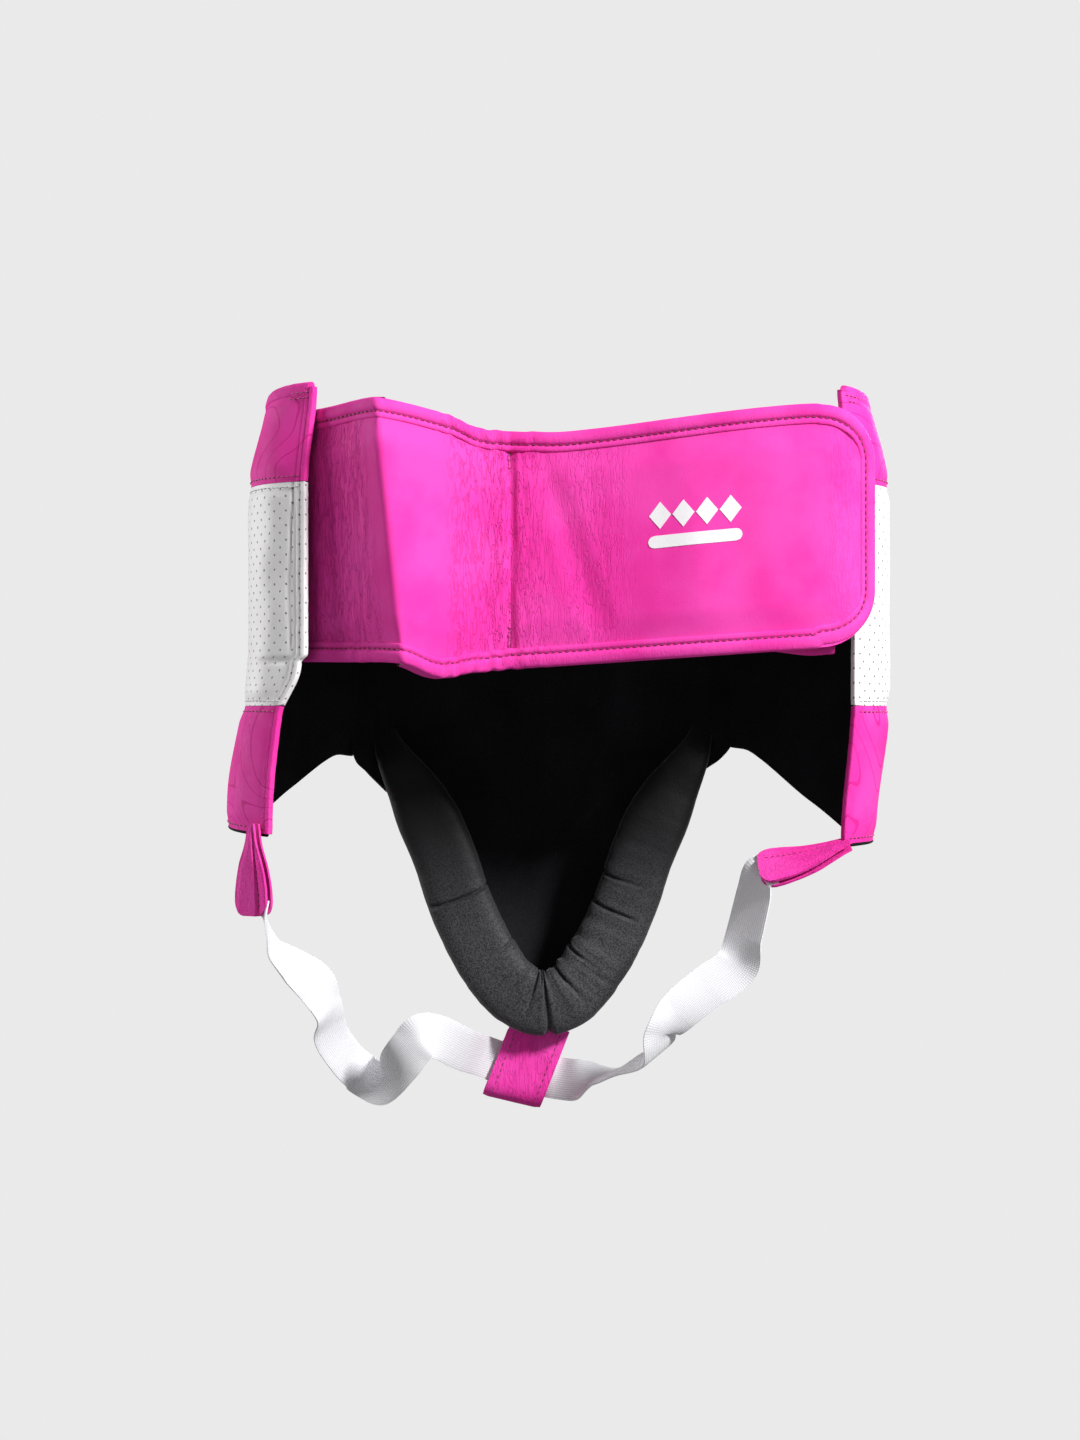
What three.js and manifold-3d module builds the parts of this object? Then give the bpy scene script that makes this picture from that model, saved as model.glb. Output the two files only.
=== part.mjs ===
// Groin protector for boxing: a padded front shield with a cup, two wings that wrap the hips,
// a padded belt that closes behind the waist, and an elastic strap that runs under the body.
// Millimetres. +Z is up as worn, +Y is the wearer's front and +X the wearer's right-hand side
// as seen from behind. The origin is the middle of the waist ring, half way up the belt.

import * as THREE from "three";
import * as BufferGeometryUtils from "three/addons/utils/BufferGeometryUtils.js";
import Module from "manifold-3d";

const { smoothstep, lerp, degToRad } = THREE.MathUtils;

// Waist ring: a rounded rectangle in plan.
const ringCentreY = -5;
const ringDepth = 80;
const ringRoundness = 2.4;
const leftReach = 168;
const rightReach = 198;

// Front shield.
const shieldTop = 68;
const cupDishing = 26;
const cupDishPower = 2.4;

// Wings.
const wingTop = 84;
const upperBandLine = 31;
const lowerBandLine = -94;
const leftRear = { angle: 112.9, lowAngle: 108 };
const rightRear = { angle: 104.4, lowAngle: 104.4 };
const wingSeamAngle = { left: 60.4, right: 58.6 };
// Height of a wing's lower edge from the shield (0) to the rear (1), round the leg opening.
const leftLegLine = [[0, -117], [0.08, -119], [0.25, -141], [0.42, -158], [0.6, -162], [1, -166]];
const rightLegLine = [[0, -117], [0.08, -120], [0.31, -149], [0.55, -168], [1, -172]];

// Thicknesses.
const gap = 0.3;
const leather = 1.5;
const lining = 1;
const bellyPad = 12;
const wingPad = 5;
const cupPad = 4;
const cupWall = 3;
const beltPad = 5.3;
const flapPad = 4;
const hookThickness = 1.7;
const loopThickness = 1.4;
const bindingThickness = 2.4;
const bandGapShare = 0.004;

// Belt.
const beltStart = new THREE.Vector2(-121, -58);
const beltRidge = { topX: -91, bottomX: -76, y: -96 };
const beltSeamX = -18;
const beltSeamY = -58;
const flapEndX = 184;
const flapCorner = 30;
const anchorStartX = 62;
const anchorEndX = 170;

// Strap, tabs and crotch loop.
const elasticWidth = 25;
const elasticThickness = 1.5;
const tabLeather = 1.4;
const loopWidth = 35;
const loopTop = new THREE.Vector3(-4, 0, -291.5);
const loopDown = new THREE.Vector3(-0.36, 0, -0.93).normalize();
const loopAcross = new THREE.Vector3(0.93, 0, -0.36).normalize();
const loopLength = 40;
const snapRadius = 6;
const snapSides = 16;

// Colours.
const pink = 0xe83fa6;
const deepPink = 0xc82f88;
const white = 0xf4f2f3;
const black = 0x2b292c;
const foamGrey = 0x8a8a8e;
const plasticIvory = 0xe6e0cf;
const steel = 0xb9bbc0;

const wasm = await Module();
wasm.setup();

const group = new THREE.Group();

function add(name, geometry, color, roughness = 0.6, metalness = 0) {
  const material = new THREE.MeshStandardMaterial({ color, roughness, metalness });
  const mesh = new THREE.Mesh(geometry, material);
  mesh.name = name;
  group.add(mesh);
  return mesh;
}

// Smooth value through a few [place, value] stops, level beyond the first and the last.
function through(stops, place) {
  const rising = stops[0][0] < stops[stops.length - 1][0];
  const sorted = rising ? stops : [...stops].reverse();
  const last = sorted.length - 1;
  if (place <= sorted[0][0]) return sorted[0][1];
  if (place >= sorted[last][0]) return sorted[last][1];
  const i = sorted.findIndex((stop) => stop[0] > place) - 1;
  const slope = (k) => {
    const before = sorted[Math.max(k - 1, 0)];
    const after = sorted[Math.min(k + 1, last)];
    return (after[1] - before[1]) / (after[0] - before[0]);
  };
  const width = sorted[i + 1][0] - sorted[i][0];
  const t = (place - sorted[i][0]) / width;
  const rise = sorted[i + 1][1] - sorted[i][1];
  const bend = (slope(i) * width - rise) * (1 - t) - (slope(i + 1) * width - rise) * t;
  return lerp(sorted[i][1], sorted[i + 1][1], t) + t * (1 - t) * bend;
}

function closedGeometry(points, indices) {
  let volume = 0;
  for (let k = 0; k < indices.length; k += 3) {
    const [a, b, c] = [0, 1, 2].map((n) => new THREE.Vector3().fromArray(points, indices[k + n] * 3));
    volume += a.dot(b.cross(c));
  }
  const outward = volume > 0 ? indices : [...indices].reverse();
  const geometry = new THREE.BufferGeometry();
  geometry.setAttribute("position", new THREE.Float32BufferAttribute(points, 3));
  geometry.setIndex(outward);
  geometry.computeVertexNormals();
  return geometry;
}

// The surface's point at (u, v), moved by `offset` along the direction dv x du.
function lifted(surface, u, v, offset) {
  const reach = 0.004;
  const [u0, u1] = [Math.max(u - reach, 0), Math.min(u + reach, 1)];
  const [v0, v1] = [Math.max(v - reach, 0), Math.min(v + reach, 1)];
  const du = surface(u1, v).sub(surface(u0, v));
  const dv = surface(u, v1).sub(surface(u, v0));
  const normal = dv.cross(du).normalize();
  return surface(u, v).addScaledVector(normal, offset);
}

// A thick sheet that fills the space between two offsets of a surface.
function sheet(surface, columns, rows, near, far) {
  const points = [];
  for (const offset of [near, far]) {
    for (let j = 0; j <= rows; j++) {
      for (let i = 0; i <= columns; i++) {
        points.push(...lifted(surface, i / columns, j / rows, offset).toArray());
      }
    }
  }
  const layer = (columns + 1) * (rows + 1);
  const at = (i, j, side) => side * layer + j * (columns + 1) + i;
  const indices = [];
  const quad = (a, b, c, d) => indices.push(a, b, c, a, c, d);
  for (let j = 0; j < rows; j++) {
    for (let i = 0; i < columns; i++) {
      quad(at(i, j, 0), at(i + 1, j, 0), at(i + 1, j + 1, 0), at(i, j + 1, 0));
      quad(at(i, j, 1), at(i, j + 1, 1), at(i + 1, j + 1, 1), at(i + 1, j, 1));
    }
  }
  for (let i = 0; i < columns; i++) {
    quad(at(i, 0, 0), at(i, 0, 1), at(i + 1, 0, 1), at(i + 1, 0, 0));
    quad(at(i, rows, 0), at(i + 1, rows, 0), at(i + 1, rows, 1), at(i, rows, 1));
  }
  for (let j = 0; j < rows; j++) {
    quad(at(0, j, 0), at(0, j + 1, 0), at(0, j + 1, 1), at(0, j, 1));
    quad(at(columns, j, 0), at(columns, j, 1), at(columns, j + 1, 1), at(columns, j + 1, 0));
  }
  return closedGeometry(points, indices);
}

// Part of a surface, from (u0, v0) to (u1, v1).
function portion(surface, u0, u1, v0, v1) {
  return (u, v) => surface(lerp(u0, u1, u), lerp(v0, v1, v));
}

function asSolid(geometry) {
  const bare = geometry.clone();
  bare.deleteAttribute("normal");
  bare.deleteAttribute("uv");
  const merged = BufferGeometryUtils.mergeVertices(bare);
  const vertProperties = new Float32Array(merged.attributes.position.array);
  const triVerts = new Uint32Array(merged.index.array);
  return new wasm.Manifold(new wasm.Mesh({ numProp: 3, vertProperties, triVerts }));
}

function asGeometry(solid) {
  const mesh = solid.getMesh();
  return closedGeometry(Array.from(mesh.vertProperties), Array.from(mesh.triVerts));
}

// ---- Waist ring and wings ----

function sideReach(isLeft, z) {
  const drawnIn = smoothstep(z, 30, wingTop);
  if (isLeft) return leftReach - 10 * drawnIn + 13 * smoothstep(-z, 60, 160);
  return rightReach - 11 * drawnIn - 8 * smoothstep(-z, 90, 170);
}

// A point on the outside of the ring; the angle is from the front, negative to the left.
function ringSpot(angle, z) {
  const turn = degToRad(angle);
  const across = Math.abs(Math.sin(turn)) / sideReach(angle < 0, z);
  const ahead = Math.abs(Math.cos(turn)) / ringDepth;
  const radius = (across ** ringRoundness + ahead ** ringRoundness) ** (-1 / ringRoundness);
  return new THREE.Vector3(radius * Math.sin(turn), ringCentreY + radius * Math.cos(turn), z);
}

function ringTop(angle) {
  return lerp(shieldTop, wingTop, smoothstep(Math.abs(angle), 60, 108));
}

// A wing's outside in three bands, stacked from its lower edge to its top edge. Each band takes a
// third of v; u runs from left to right on either wing.
function wingSurface(isLeft) {
  const rear = isLeft ? leftRear : rightRear;
  const seam = isLeft ? wingSeamAngle.left : wingSeamAngle.right;
  return (u, v) => {
    const fromSeam = isLeft ? 1 - u : u;
    const floor = through(isLeft ? leftLegLine : rightLegLine, fromSeam);
    const ceiling = ringTop(lerp(seam, rear.angle, fromSeam));
    const lines = [floor, lowerBandLine, upperBandLine, ceiling];
    const band = Math.min(Math.floor(v * 3), 2);
    const z = lerp(lines[band], lines[band + 1], v * 3 - band);
    const rearAngle = lerp(rear.angle, rear.lowAngle, smoothstep(-z, 60, 100));
    const angle = lerp(seam, rearAngle, fromSeam);
    return ringSpot(isLeft ? -angle : angle, z);
  };
}

function addWing(side) {
  const isLeft = side === "left";
  const whole = wingSurface(isLeft);
  const columns = 8;
  const bandRows = 3;
  const bandSkin = (band) => {
    const surface = portion(whole, 0, 1, (band + bandGapShare) / 3, (band + 1 - bandGapShare) / 3);
    return sheet(surface, columns, bandRows, -leather, 0);
  };
  add(`${side}_wing_lower_leather`, bandSkin(0), pink, 0.45);
  add(`${side}_wing_perforated_leather`, bandSkin(1), white, 0.5);
  add(`${side}_wing_top_leather`, bandSkin(2), pink, 0.45);
  const padFront = -leather - gap;
  const padBack = padFront - wingPad;
  const liningFront = padBack - gap;
  const liningBack = liningFront - lining;
  add(`${side}_wing_foam`, sheet(whole, columns, 3 * bandRows, padBack, padFront), foamGrey, 0.9);
  add(`${side}_wing_lining`, sheet(whole, columns, 3 * bandRows, liningBack, liningFront), black, 0.8);

  const rearU = isLeft ? 0 : 1;
  const rearEdge = (u, v) => lifted(whole, rearU, v, lerp(0, liningBack, u));
  const edgeGap = 2 * gap;
  const reach = isLeft ? [-edgeGap - bindingThickness, -edgeGap] : [edgeGap, edgeGap + bindingThickness];
  add(`${side}_wing_rear_binding`, sheet(rearEdge, 1, 3 * bandRows, ...reach), deepPink, 0.5);

  const lowerEdge = (u, v) => lifted(whole, u, 0, lerp(0, liningBack, v));
  const legBinding = sheet(lowerEdge, columns, 1, -edgeGap - bindingThickness, -edgeGap);
  add(`${side}_leg_binding`, legBinding, black, 0.7);
}

function addTopBinding() {
  const width = leather + wingPad + lining + 1;
  const strip = (u, v) => {
    const angle = lerp(-leftRear.angle, rightRear.angle, lerp(0.01, 0.99, u));
    const outside = ringSpot(angle, ringTop(angle));
    const centre = new THREE.Vector3(0, ringCentreY, outside.z);
    const inward = centre.sub(outside).normalize();
    return outside.addScaledVector(inward, lerp(0, width, v));
  };
  add("top_binding", sheet(strip, 40, 1, gap + 0.6, gap + 0.6 + bindingThickness), pink, 0.45);
}

// ---- Shield: belly panel and cup ----

// The shield's middle line from the top edge down and under to the crotch.
const spine = new THREE.CatmullRomCurve3([
  new THREE.Vector3(0, 75, shieldTop),
  new THREE.Vector3(0, 76, 0),
  new THREE.Vector3(0, 79, -70),
  new THREE.Vector3(0, 88, -130),
  new THREE.Vector3(0, 92, -190),
  new THREE.Vector3(0, 86, -236),
  new THREE.Vector3(0, 74, -265),
  new THREE.Vector3(0, 57, -283),
]);
const spineCupTop = 0.475;
const cupColumns = 14;
const cupRows = 10;

// Half width of the shield at a height.
function shieldHalfWidth(z) {
  const outline = [[-110, 111.5], [-128, 98], [-149, 85], [-203, 68], [-244, 49], [-268, 33], [-283, 18]];
  return through(outline, z);
}

function shieldSpot(x, along) {
  const place = spine.getPointAt(along);
  const down = spine.getTangentAt(along);
  const forward = new THREE.Vector3(0, -down.z, down.y);
  const share = Math.min(Math.abs(x) / sideReach(x < 0, place.z), 0.999);
  const wrap = ringDepth * (1 - (1 - share ** ringRoundness) ** (1 / ringRoundness));
  const dishing = cupDishing * smoothstep(-place.z, 100, 190) * (1 - 0.7 * smoothstep(-place.z, 230, 275));
  const dish = dishing * (Math.abs(x) / shieldHalfWidth(place.z)) ** cupDishPower;
  return place.addScaledVector(forward, -wrap - dish).setX(x);
}

// u runs from left to right; v from the low end of a stretch of the spine to its high end.
function shieldPart(lowAlong, highAlong, widthShare) {
  return (u, v) => {
    const along = lerp(lowAlong, highAlong, v);
    const half = widthShare * shieldHalfWidth(spine.getPointAt(along).z);
    return shieldSpot(lerp(-half, half, u), along);
  };
}

function addShield() {
  const belly = shieldPart(spineCupTop - 0.001, 0, 1);
  const cup = shieldPart(1, spineCupTop + 0.001, 1);
  const padFront = -leather - gap;
  const padBack = padFront - bellyPad;
  add("belly_leather", sheet(belly, 12, 6, -leather, 0), pink, 0.45);
  add("belly_foam", sheet(belly, 12, 6, padBack, padFront), foamGrey, 0.9);
  add("belly_lining", sheet(belly, 12, 6, padBack - gap - lining, padBack - gap), black, 0.8);

  const cupPadBack = padFront - cupPad;
  const wallFront = cupPadBack - gap;
  const wallBack = wallFront - cupWall;
  const inner = portion(cup, 1 / cupColumns, 1 - 1 / cupColumns, 1 / cupRows, 1);
  const sheetInside = (from, to) => sheet(inner, cupColumns - 2, cupRows - 1, from, to);
  add("cup_leather", sheet(cup, cupColumns, cupRows, -leather, 0), pink, 0.45);
  add("cup_foam", sheetInside(cupPadBack, padFront), foamGrey, 0.9);
  add("cup_shell", vented(sheetInside(wallBack, wallFront)), plasticIvory, 0.35);
  add("cup_lining", sheetInside(wallBack - gap - lining, wallBack - gap), black, 0.8);
}

// The hard cup has a column of three breathing holes with two pairs beside it.
function vented(geometry) {
  const ventRadius = 4;
  const ventSides = 10;
  const drillLength = 90;
  const drillY = 80;
  const ventSpots = [[0, -150], [0, -175], [0, -200], [-22, -163], [22, -163], [-20, -188], [20, -188]];
  let solid = asSolid(geometry);
  for (const [x, z] of ventSpots) {
    const drill = new THREE.CylinderGeometry(ventRadius, ventRadius, drillLength, ventSides);
    drill.translate(x, drillY, z);
    solid = solid.subtract(asSolid(drill));
  }
  return asGeometry(solid);
}

// The padded roll that rims the cup on the wearer's side, a flattened tube bent to a U.
function addCupRimRoll() {
  const halfWidth = 19;
  const halfDepth = 12;
  const side = [[90, 46, -122], [76, 46, -146], [60, 46, -180], [49, 44, -212], [33, 40, -244], [15, 36, -265]];
  const left = side.map(([x, y, z]) => new THREE.Vector3(-x, y, z));
  const right = [...side].reverse().map(([x, y, z]) => new THREE.Vector3(x, y, z));
  const path = new THREE.CatmullRomCurve3([...left, new THREE.Vector3(0, 35, -270), ...right]);
  const rings = 30;
  const sides = 12;
  const points = [];
  for (let k = 0; k <= rings; k++) {
    const along = k / rings;
    const centre = path.getPointAt(along);
    const tangent = path.getTangentAt(along);
    const back = new THREE.Vector3(0, -1, 0);
    const inPlane = tangent.clone().cross(back).normalize();
    const taper = lerp(0.6, 1, smoothstep(Math.min(along, 1 - along), 0, 0.1));
    for (let i = 0; i < sides; i++) {
      const turn = (2 * Math.PI * i) / sides;
      const spot = centre
        .clone()
        .addScaledVector(inPlane, taper * halfWidth * Math.cos(turn))
        .addScaledVector(back, taper * halfDepth * Math.sin(turn));
      points.push(...spot.toArray());
    }
  }
  const indices = [];
  const at = (k, i) => k * sides + (i % sides);
  for (let k = 0; k < rings; k++) {
    for (let i = 0; i < sides; i++) {
      indices.push(at(k, i), at(k + 1, i), at(k + 1, i + 1), at(k, i), at(k + 1, i + 1), at(k, i + 1));
    }
  }
  for (let i = 1; i < sides - 1; i++) {
    indices.push(at(0, 0), at(0, i), at(0, i + 1));
    indices.push(at(rings, 0), at(rings, i + 1), at(rings, i));
  }
  add("cup_rim_roll", closedGeometry(points, indices), black, 0.8);
}

// ---- Belt ----

// The base's outer face: straight from the wing to a slanted ridge, then a curve to the seam.
const baseTop = [[-121, 71.5], [-91, 73], [-51, 66], [-36, 60], [-18, 58.5]];
const baseBottom = [[-121, -69], [-76, -71], [-57, -78], [-36, -75], [-18, -73]];
const ridgeShare = 0.4;

function baseSpot(u, v) {
  const ridge = new THREE.Vector3(lerp(beltRidge.bottomX, beltRidge.topX, v), beltRidge.y, 0);
  const spot = new THREE.Vector3();
  if (u < ridgeShare) {
    spot.set(beltStart.x, beltStart.y, 0).lerp(ridge, u / ridgeShare);
  } else {
    const t = (u - ridgeShare) / (1 - ridgeShare);
    const y = through([[0, beltRidge.y], [0.5, -72], [0.78, -61], [1, beltSeamY]], t);
    spot.set(lerp(ridge.x, beltSeamX - gap, t), y, 0);
  }
  return spot.setZ(lerp(through(baseBottom, spot.x), through(baseTop, spot.x), v));
}

// The flap's outer face, from the seam to its rounded free end.
const flapPlan = [[-18, -58], [30, -65], [90, -77], [140, -79], [168, -74], [184, -63]];
const flapTop = [[-18, 58.5], [15, 58], [140, 71], [184, 71]];
const flapBottom = [[-18, -73], [184, -60]];

function cornerTuck(x) {
  const into = Math.max(x - (flapEndX - flapCorner), 0);
  return flapCorner - Math.sqrt(flapCorner ** 2 - into ** 2);
}

// Columns gather towards the rounded end.
function flapSpot(u, v) {
  const x = lerp(flapEndX, beltSeamX + gap, (1 - u) ** 1.5);
  const bottom = through(flapBottom, x) + cornerTuck(x);
  const top = through(flapTop, x) - cornerTuck(x);
  return new THREE.Vector3(x, through(flapPlan, x), lerp(bottom, top, v));
}

// The anchor strap lies under the flap, so it follows the flap's plan, just inside its long edges.
function anchorSpot(u, v) {
  const x = lerp(anchorStartX, anchorEndX, u);
  const peeksOut = smoothstep(x, anchorEndX - 60, anchorEndX - 10);
  const bottom = through(flapBottom, x) + lerp(4, -3, peeksOut);
  const top = through(flapTop, x) - lerp(6, 1.5, peeksOut);
  return new THREE.Vector3(x, through(flapPlan, x), lerp(bottom, top, v));
}

function addBeltLayers(name, surface, columns, rows, start, pad) {
  const padStart = start + leather + gap;
  const liningStart = padStart + pad + gap;
  add(`${name}_leather`, sheet(surface, columns, rows, start, start + leather), pink, 0.45);
  add(`${name}_foam`, sheet(surface, columns, rows, padStart, padStart + pad), foamGrey, 0.9);
  add(`${name}_lining`, sheet(surface, columns, rows, liningStart, liningStart + lining), black, 0.8);
  return liningStart + lining;
}

// A binding strip along the top (v = 1) or bottom (v = 0) edge of a stack of belt layers.
function edgeStrip(surface, v, columns, depthStart, depthEnd) {
  const edge = (a, b) => lifted(surface, a, v, lerp(depthStart, depthEnd, b));
  const reach = v === 1 ? [-gap - bindingThickness, -gap] : [gap, gap + bindingThickness];
  return sheet(edge, columns, 1, ...reach);
}

// The binding that runs round the flap: along the top, round the free end and back.
function flapRim(depth) {
  const cornerX = flapEndX - flapCorner;
  const topCorner = through(flapTop, flapEndX) - flapCorner;
  const bottomCorner = through(flapBottom, flapEndX) + flapCorner;
  const arcPoint = (centreZ, turn) => [
    cornerX + flapCorner * Math.cos(turn),
    centreZ + flapCorner * Math.sin(turn),
  ];
  const outline = (a) => {
    if (a < 1 / 3) {
      const x = lerp(beltSeamX + 1, cornerX, 3 * a);
      return [x, through(flapTop, x)];
    }
    if (a < 1 / 2) return arcPoint(topCorner, lerp(Math.PI / 2, 0, 6 * (a - 1 / 3)));
    if (a < 2 / 3) return arcPoint(bottomCorner, lerp(0, -Math.PI / 2, 6 * (a - 1 / 2)));
    const x = lerp(cornerX, beltSeamX + 1, 3 * (a - 2 / 3));
    return [x, through(flapBottom, x)];
  };
  return (a, b) => {
    const [x, z] = outline(a);
    const slope = (through(flapPlan, x + 1) - through(flapPlan, x - 1)) / 2;
    const inward = new THREE.Vector3(-slope, 1, 0).normalize();
    return new THREE.Vector3(x, through(flapPlan, x), z).addScaledVector(inward, lerp(0, depth, b));
  };
}

function addBelt() {
  const baseColumns = 10;
  const baseDepth = addBeltLayers("belt_base", baseSpot, baseColumns, 3, 0, beltPad);
  const baseEdge = (v) => edgeStrip(baseSpot, v, baseColumns, 0, baseDepth);
  add("belt_base_top_binding", baseEdge(1), deepPink, 0.45);
  add("belt_base_bottom_binding", baseEdge(0), deepPink, 0.45);

  const flapColumns = 14;
  const flapDepth = addBeltLayers("belt_flap", flapSpot, flapColumns, 4, 0, flapPad);
  const rimGap = 5 * gap;
  const rim = sheet(flapRim(flapDepth), 42, 1, -rimGap - bindingThickness, -rimGap);
  add("belt_flap_binding", rim, deepPink, 0.45);

  const hookStart = flapDepth + gap;
  const hookEnd = hookStart + hookThickness;
  const hookArea = portion(flapSpot, 5 / flapColumns, 11 / flapColumns, 0.14, 0.86);
  add("belt_hook_patch", sheet(hookArea, 6, 1, hookStart, hookEnd), white, 0.9);

  const anchorColumns = 8;
  const loopStart = hookEnd + gap;
  const loopArea = portion(anchorSpot, 1 / anchorColumns, 1 - 1 / anchorColumns, 0.06, 0.94);
  const loopPanel = sheet(loopArea, anchorColumns - 2, 1, loopStart, loopStart + loopThickness);
  add("anchor_loop_panel", loopPanel, white, 0.9);
  const strapStart = loopStart + loopThickness + gap;
  const strapDepth = addBeltLayers("anchor_strap", anchorSpot, anchorColumns, 2, strapStart, flapPad);
  const strapEdge = (v) => edgeStrip(anchorSpot, v, anchorColumns, strapStart, strapDepth);
  add("anchor_strap_top_binding", strapEdge(1), deepPink, 0.45);
  add("anchor_strap_bottom_binding", strapEdge(0), deepPink, 0.45);
}

// ---- Ribbons: the elastic strap and the tabs ----

// Each station is [x, y, z, across x, across y, across z].
function ribbon(stations, widths) {
  const centres = new THREE.CatmullRomCurve3(stations.map(([x, y, z]) => new THREE.Vector3(x, y, z)));
  const turns = new THREE.CatmullRomCurve3(
    stations.map(([, , , x, y, z]) => new THREE.Vector3(x, y, z).normalize()),
  );
  return (u, v) => {
    const across = turns.getPoint(u).normalize();
    const width = lerp(widths[0], widths[1], u);
    return centres.getPoint(u).addScaledVector(across, (v - 0.5) * width);
  };
}

// The strap hangs from tab to tab: twisted edge-on under the left tab, then round a bend to the loop, and turned
// over on its way up to the right tab.
const elasticLeft = [
  [-157, -53.3, -213, 3, -9, 0],
  [-153.5, -51.5, -222, 0, -10, -1],
  [-150.5, -49, -231, -2, -10, -2],
  [-140.5, -44, -240.5, -11, -19, -11],
  [-128, -38, -252, -15, -12, -16],
  [-121.5, -31, -266.5, -11, -19, -11],
  [-122, -21, -279, -15, -19, -7],
  [-116, -6, -294, -12, -16, -12],
  [-106, 9, -308, -5, -6, -22],
  [-93, -9, -311.5, 0, -3, -25],
  [-82, -26, -298, 11, 0, -22],
  [-75, -30, -288.5, 12, 0, -22],
  [-69, -30, -281.5, 5, 0, -24],
  [-61, -22, -283, 0, 0, -25],
  [-46, 12, -295, -9, 0, -23],
  [-36, 39, -302, -10, 0, -23],
  [-29, 46.2, -305.5, -10, 0, -23],
  [-22, 46.2, -308.5, -9, 0, -23],
];
const elasticCentre = [
  [-21.5, 46.2, -308.7, -9, 0, -23],
  [-9, 46.2, -313, -8, 0, -24],
  [2, 46.2, -315, -5, 0, -25],
];
const elasticRight = [
  [2.5, 46.2, -315, 5, 0, 25],
  [10, 44.5, -316, 2, 6, 24],
  [20, 37, -316, -5, 14, 20],
  [36.5, 24, -312.5, 15, 18, 7],
  [50, 0, -302, 19, 12, 13],
  [66, -30, -291.5, 18, 12, 13],
  [67, -40, -279, 13, 17, -11],
  [76, -40, -267, 17, 6, -19],
  [93.5, -38, -253, 15, -3, -22],
  [109.5, -37, -241, 19, -5, -15],
  [113.5, -40, -224, 18, -16, -6],
  [118.5, -44, -201.5, 17, -17, -5],
  [118.8, -45.3, -191, 12, -20, -7],
];

function addElastic() {
  const half = elasticThickness / 2;
  const width = [elasticWidth, elasticWidth];
  const span = (stations, steps) => sheet(ribbon(stations, width), steps, 1, -half, half);
  add("elastic_left", span(elasticLeft, 51), white, 0.9);
  add("elastic_centre", span(elasticCentre, 6), white, 0.9);
  add("elastic_right", span(elasticRight, 36), white, 0.9);
}

function addTabs() {
  const apart = elasticThickness / 2 + 0.45;
  const leftTab = ribbon([[-162, -54, -172.5, 7, -6, 0], [-161.5, -54, -211.5, 7, -6, 0]], [10, 26]);
  const rightPath = [[165, -51, -180, 0, 9, 3], [147, -48, -182, -2.5, 8.3, 5], [121.5, -46, -186.5, -5, 7, 5]];
  const rightTab = ribbon(rightPath, [10, 24]);
  for (const [side, surface] of [["left", leftTab], ["right", rightTab]]) {
    add(`${side}_tab_outer_leaf`, sheet(surface, 4, 1, apart, apart + tabLeather), pink, 0.45);
    add(`${side}_tab_inner_leaf`, sheet(surface, 4, 1, -apart - tabLeather, -apart), pink, 0.45);
  }
}

// ---- Crotch loop with its press stud ----

function loopSpot(y, from, to) {
  return (u, v) => {
    const down = lerp(to, from, v);
    const spot = loopTop.clone().addScaledVector(loopDown, down);
    return spot.addScaledVector(loopAcross, (u - 0.5) * loopWidth).setY(y);
  };
}

function disc(radius, length, y, down) {
  const geometry = new THREE.CylinderGeometry(radius, radius, length, snapSides);
  const spot = loopTop.clone().addScaledVector(loopDown, down);
  geometry.translate(spot.x, y + length / 2, spot.z);
  return BufferGeometryUtils.mergeVertices(bareGeometry(geometry));
}

function bareGeometry(geometry) {
  geometry.deleteAttribute("normal");
  geometry.deleteAttribute("uv");
  return geometry;
}

// The rear leaf hangs behind the elastic and folds forward under it.
function loopRearSpot(u, v) {
  const fold = [[42, 0], [42, 18], [42, 34], [44.5, 39], [50, 41.5], [55, 40.5]];
  const path = new THREE.CatmullRomCurve3(fold.map(([y, down]) => new THREE.Vector3(0, y, down)));
  const place = path.getPoint(1 - v);
  return loopSpot(place.y, place.z, place.z)(u, 0);
}

function addCrotchLoop() {
  const snapDown = 24;
  const tongueY = 51;
  const tongueLength = 34;
  const flapY = 58.6;
  add("loop_rear_leaf", sheet(loopRearSpot, 2, 12, -tabLeather, 0), pink, 0.45);
  add("loop_tongue", sheet(loopSpot(tongueY, 0, tongueLength), 2, 4, -tabLeather, 0), pink, 0.45);
  add("loop_front_leaf", sheet(loopSpot(flapY, 8, loopLength), 2, 4, -tabLeather, 0), pink, 0.45);
  add("snap_stud", disc(4, 2.6, tongueY + gap, snapDown), steel, 0.3, 1);
  add("snap_socket", disc(5, 2, flapY - tabLeather - gap - 2, snapDown), steel, 0.3, 1);
  add("snap_cap", disc(snapRadius, 1.6, flapY + gap, snapDown), steel, 0.3, 1);
}

addShield();
addCupRimRoll();
addWing("left");
addWing("right");
addTopBinding();
addBelt();
addTabs();
addElastic();
addCrotchLoop();

export default group;
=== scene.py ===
"""The looks of a padded groin protector for boxing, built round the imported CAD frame.

It is seen from the wearer's back. Shapes are worked out in millimetres, in the frame's axes,
and turned into metres when a mesh is made.
"""

import math

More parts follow.
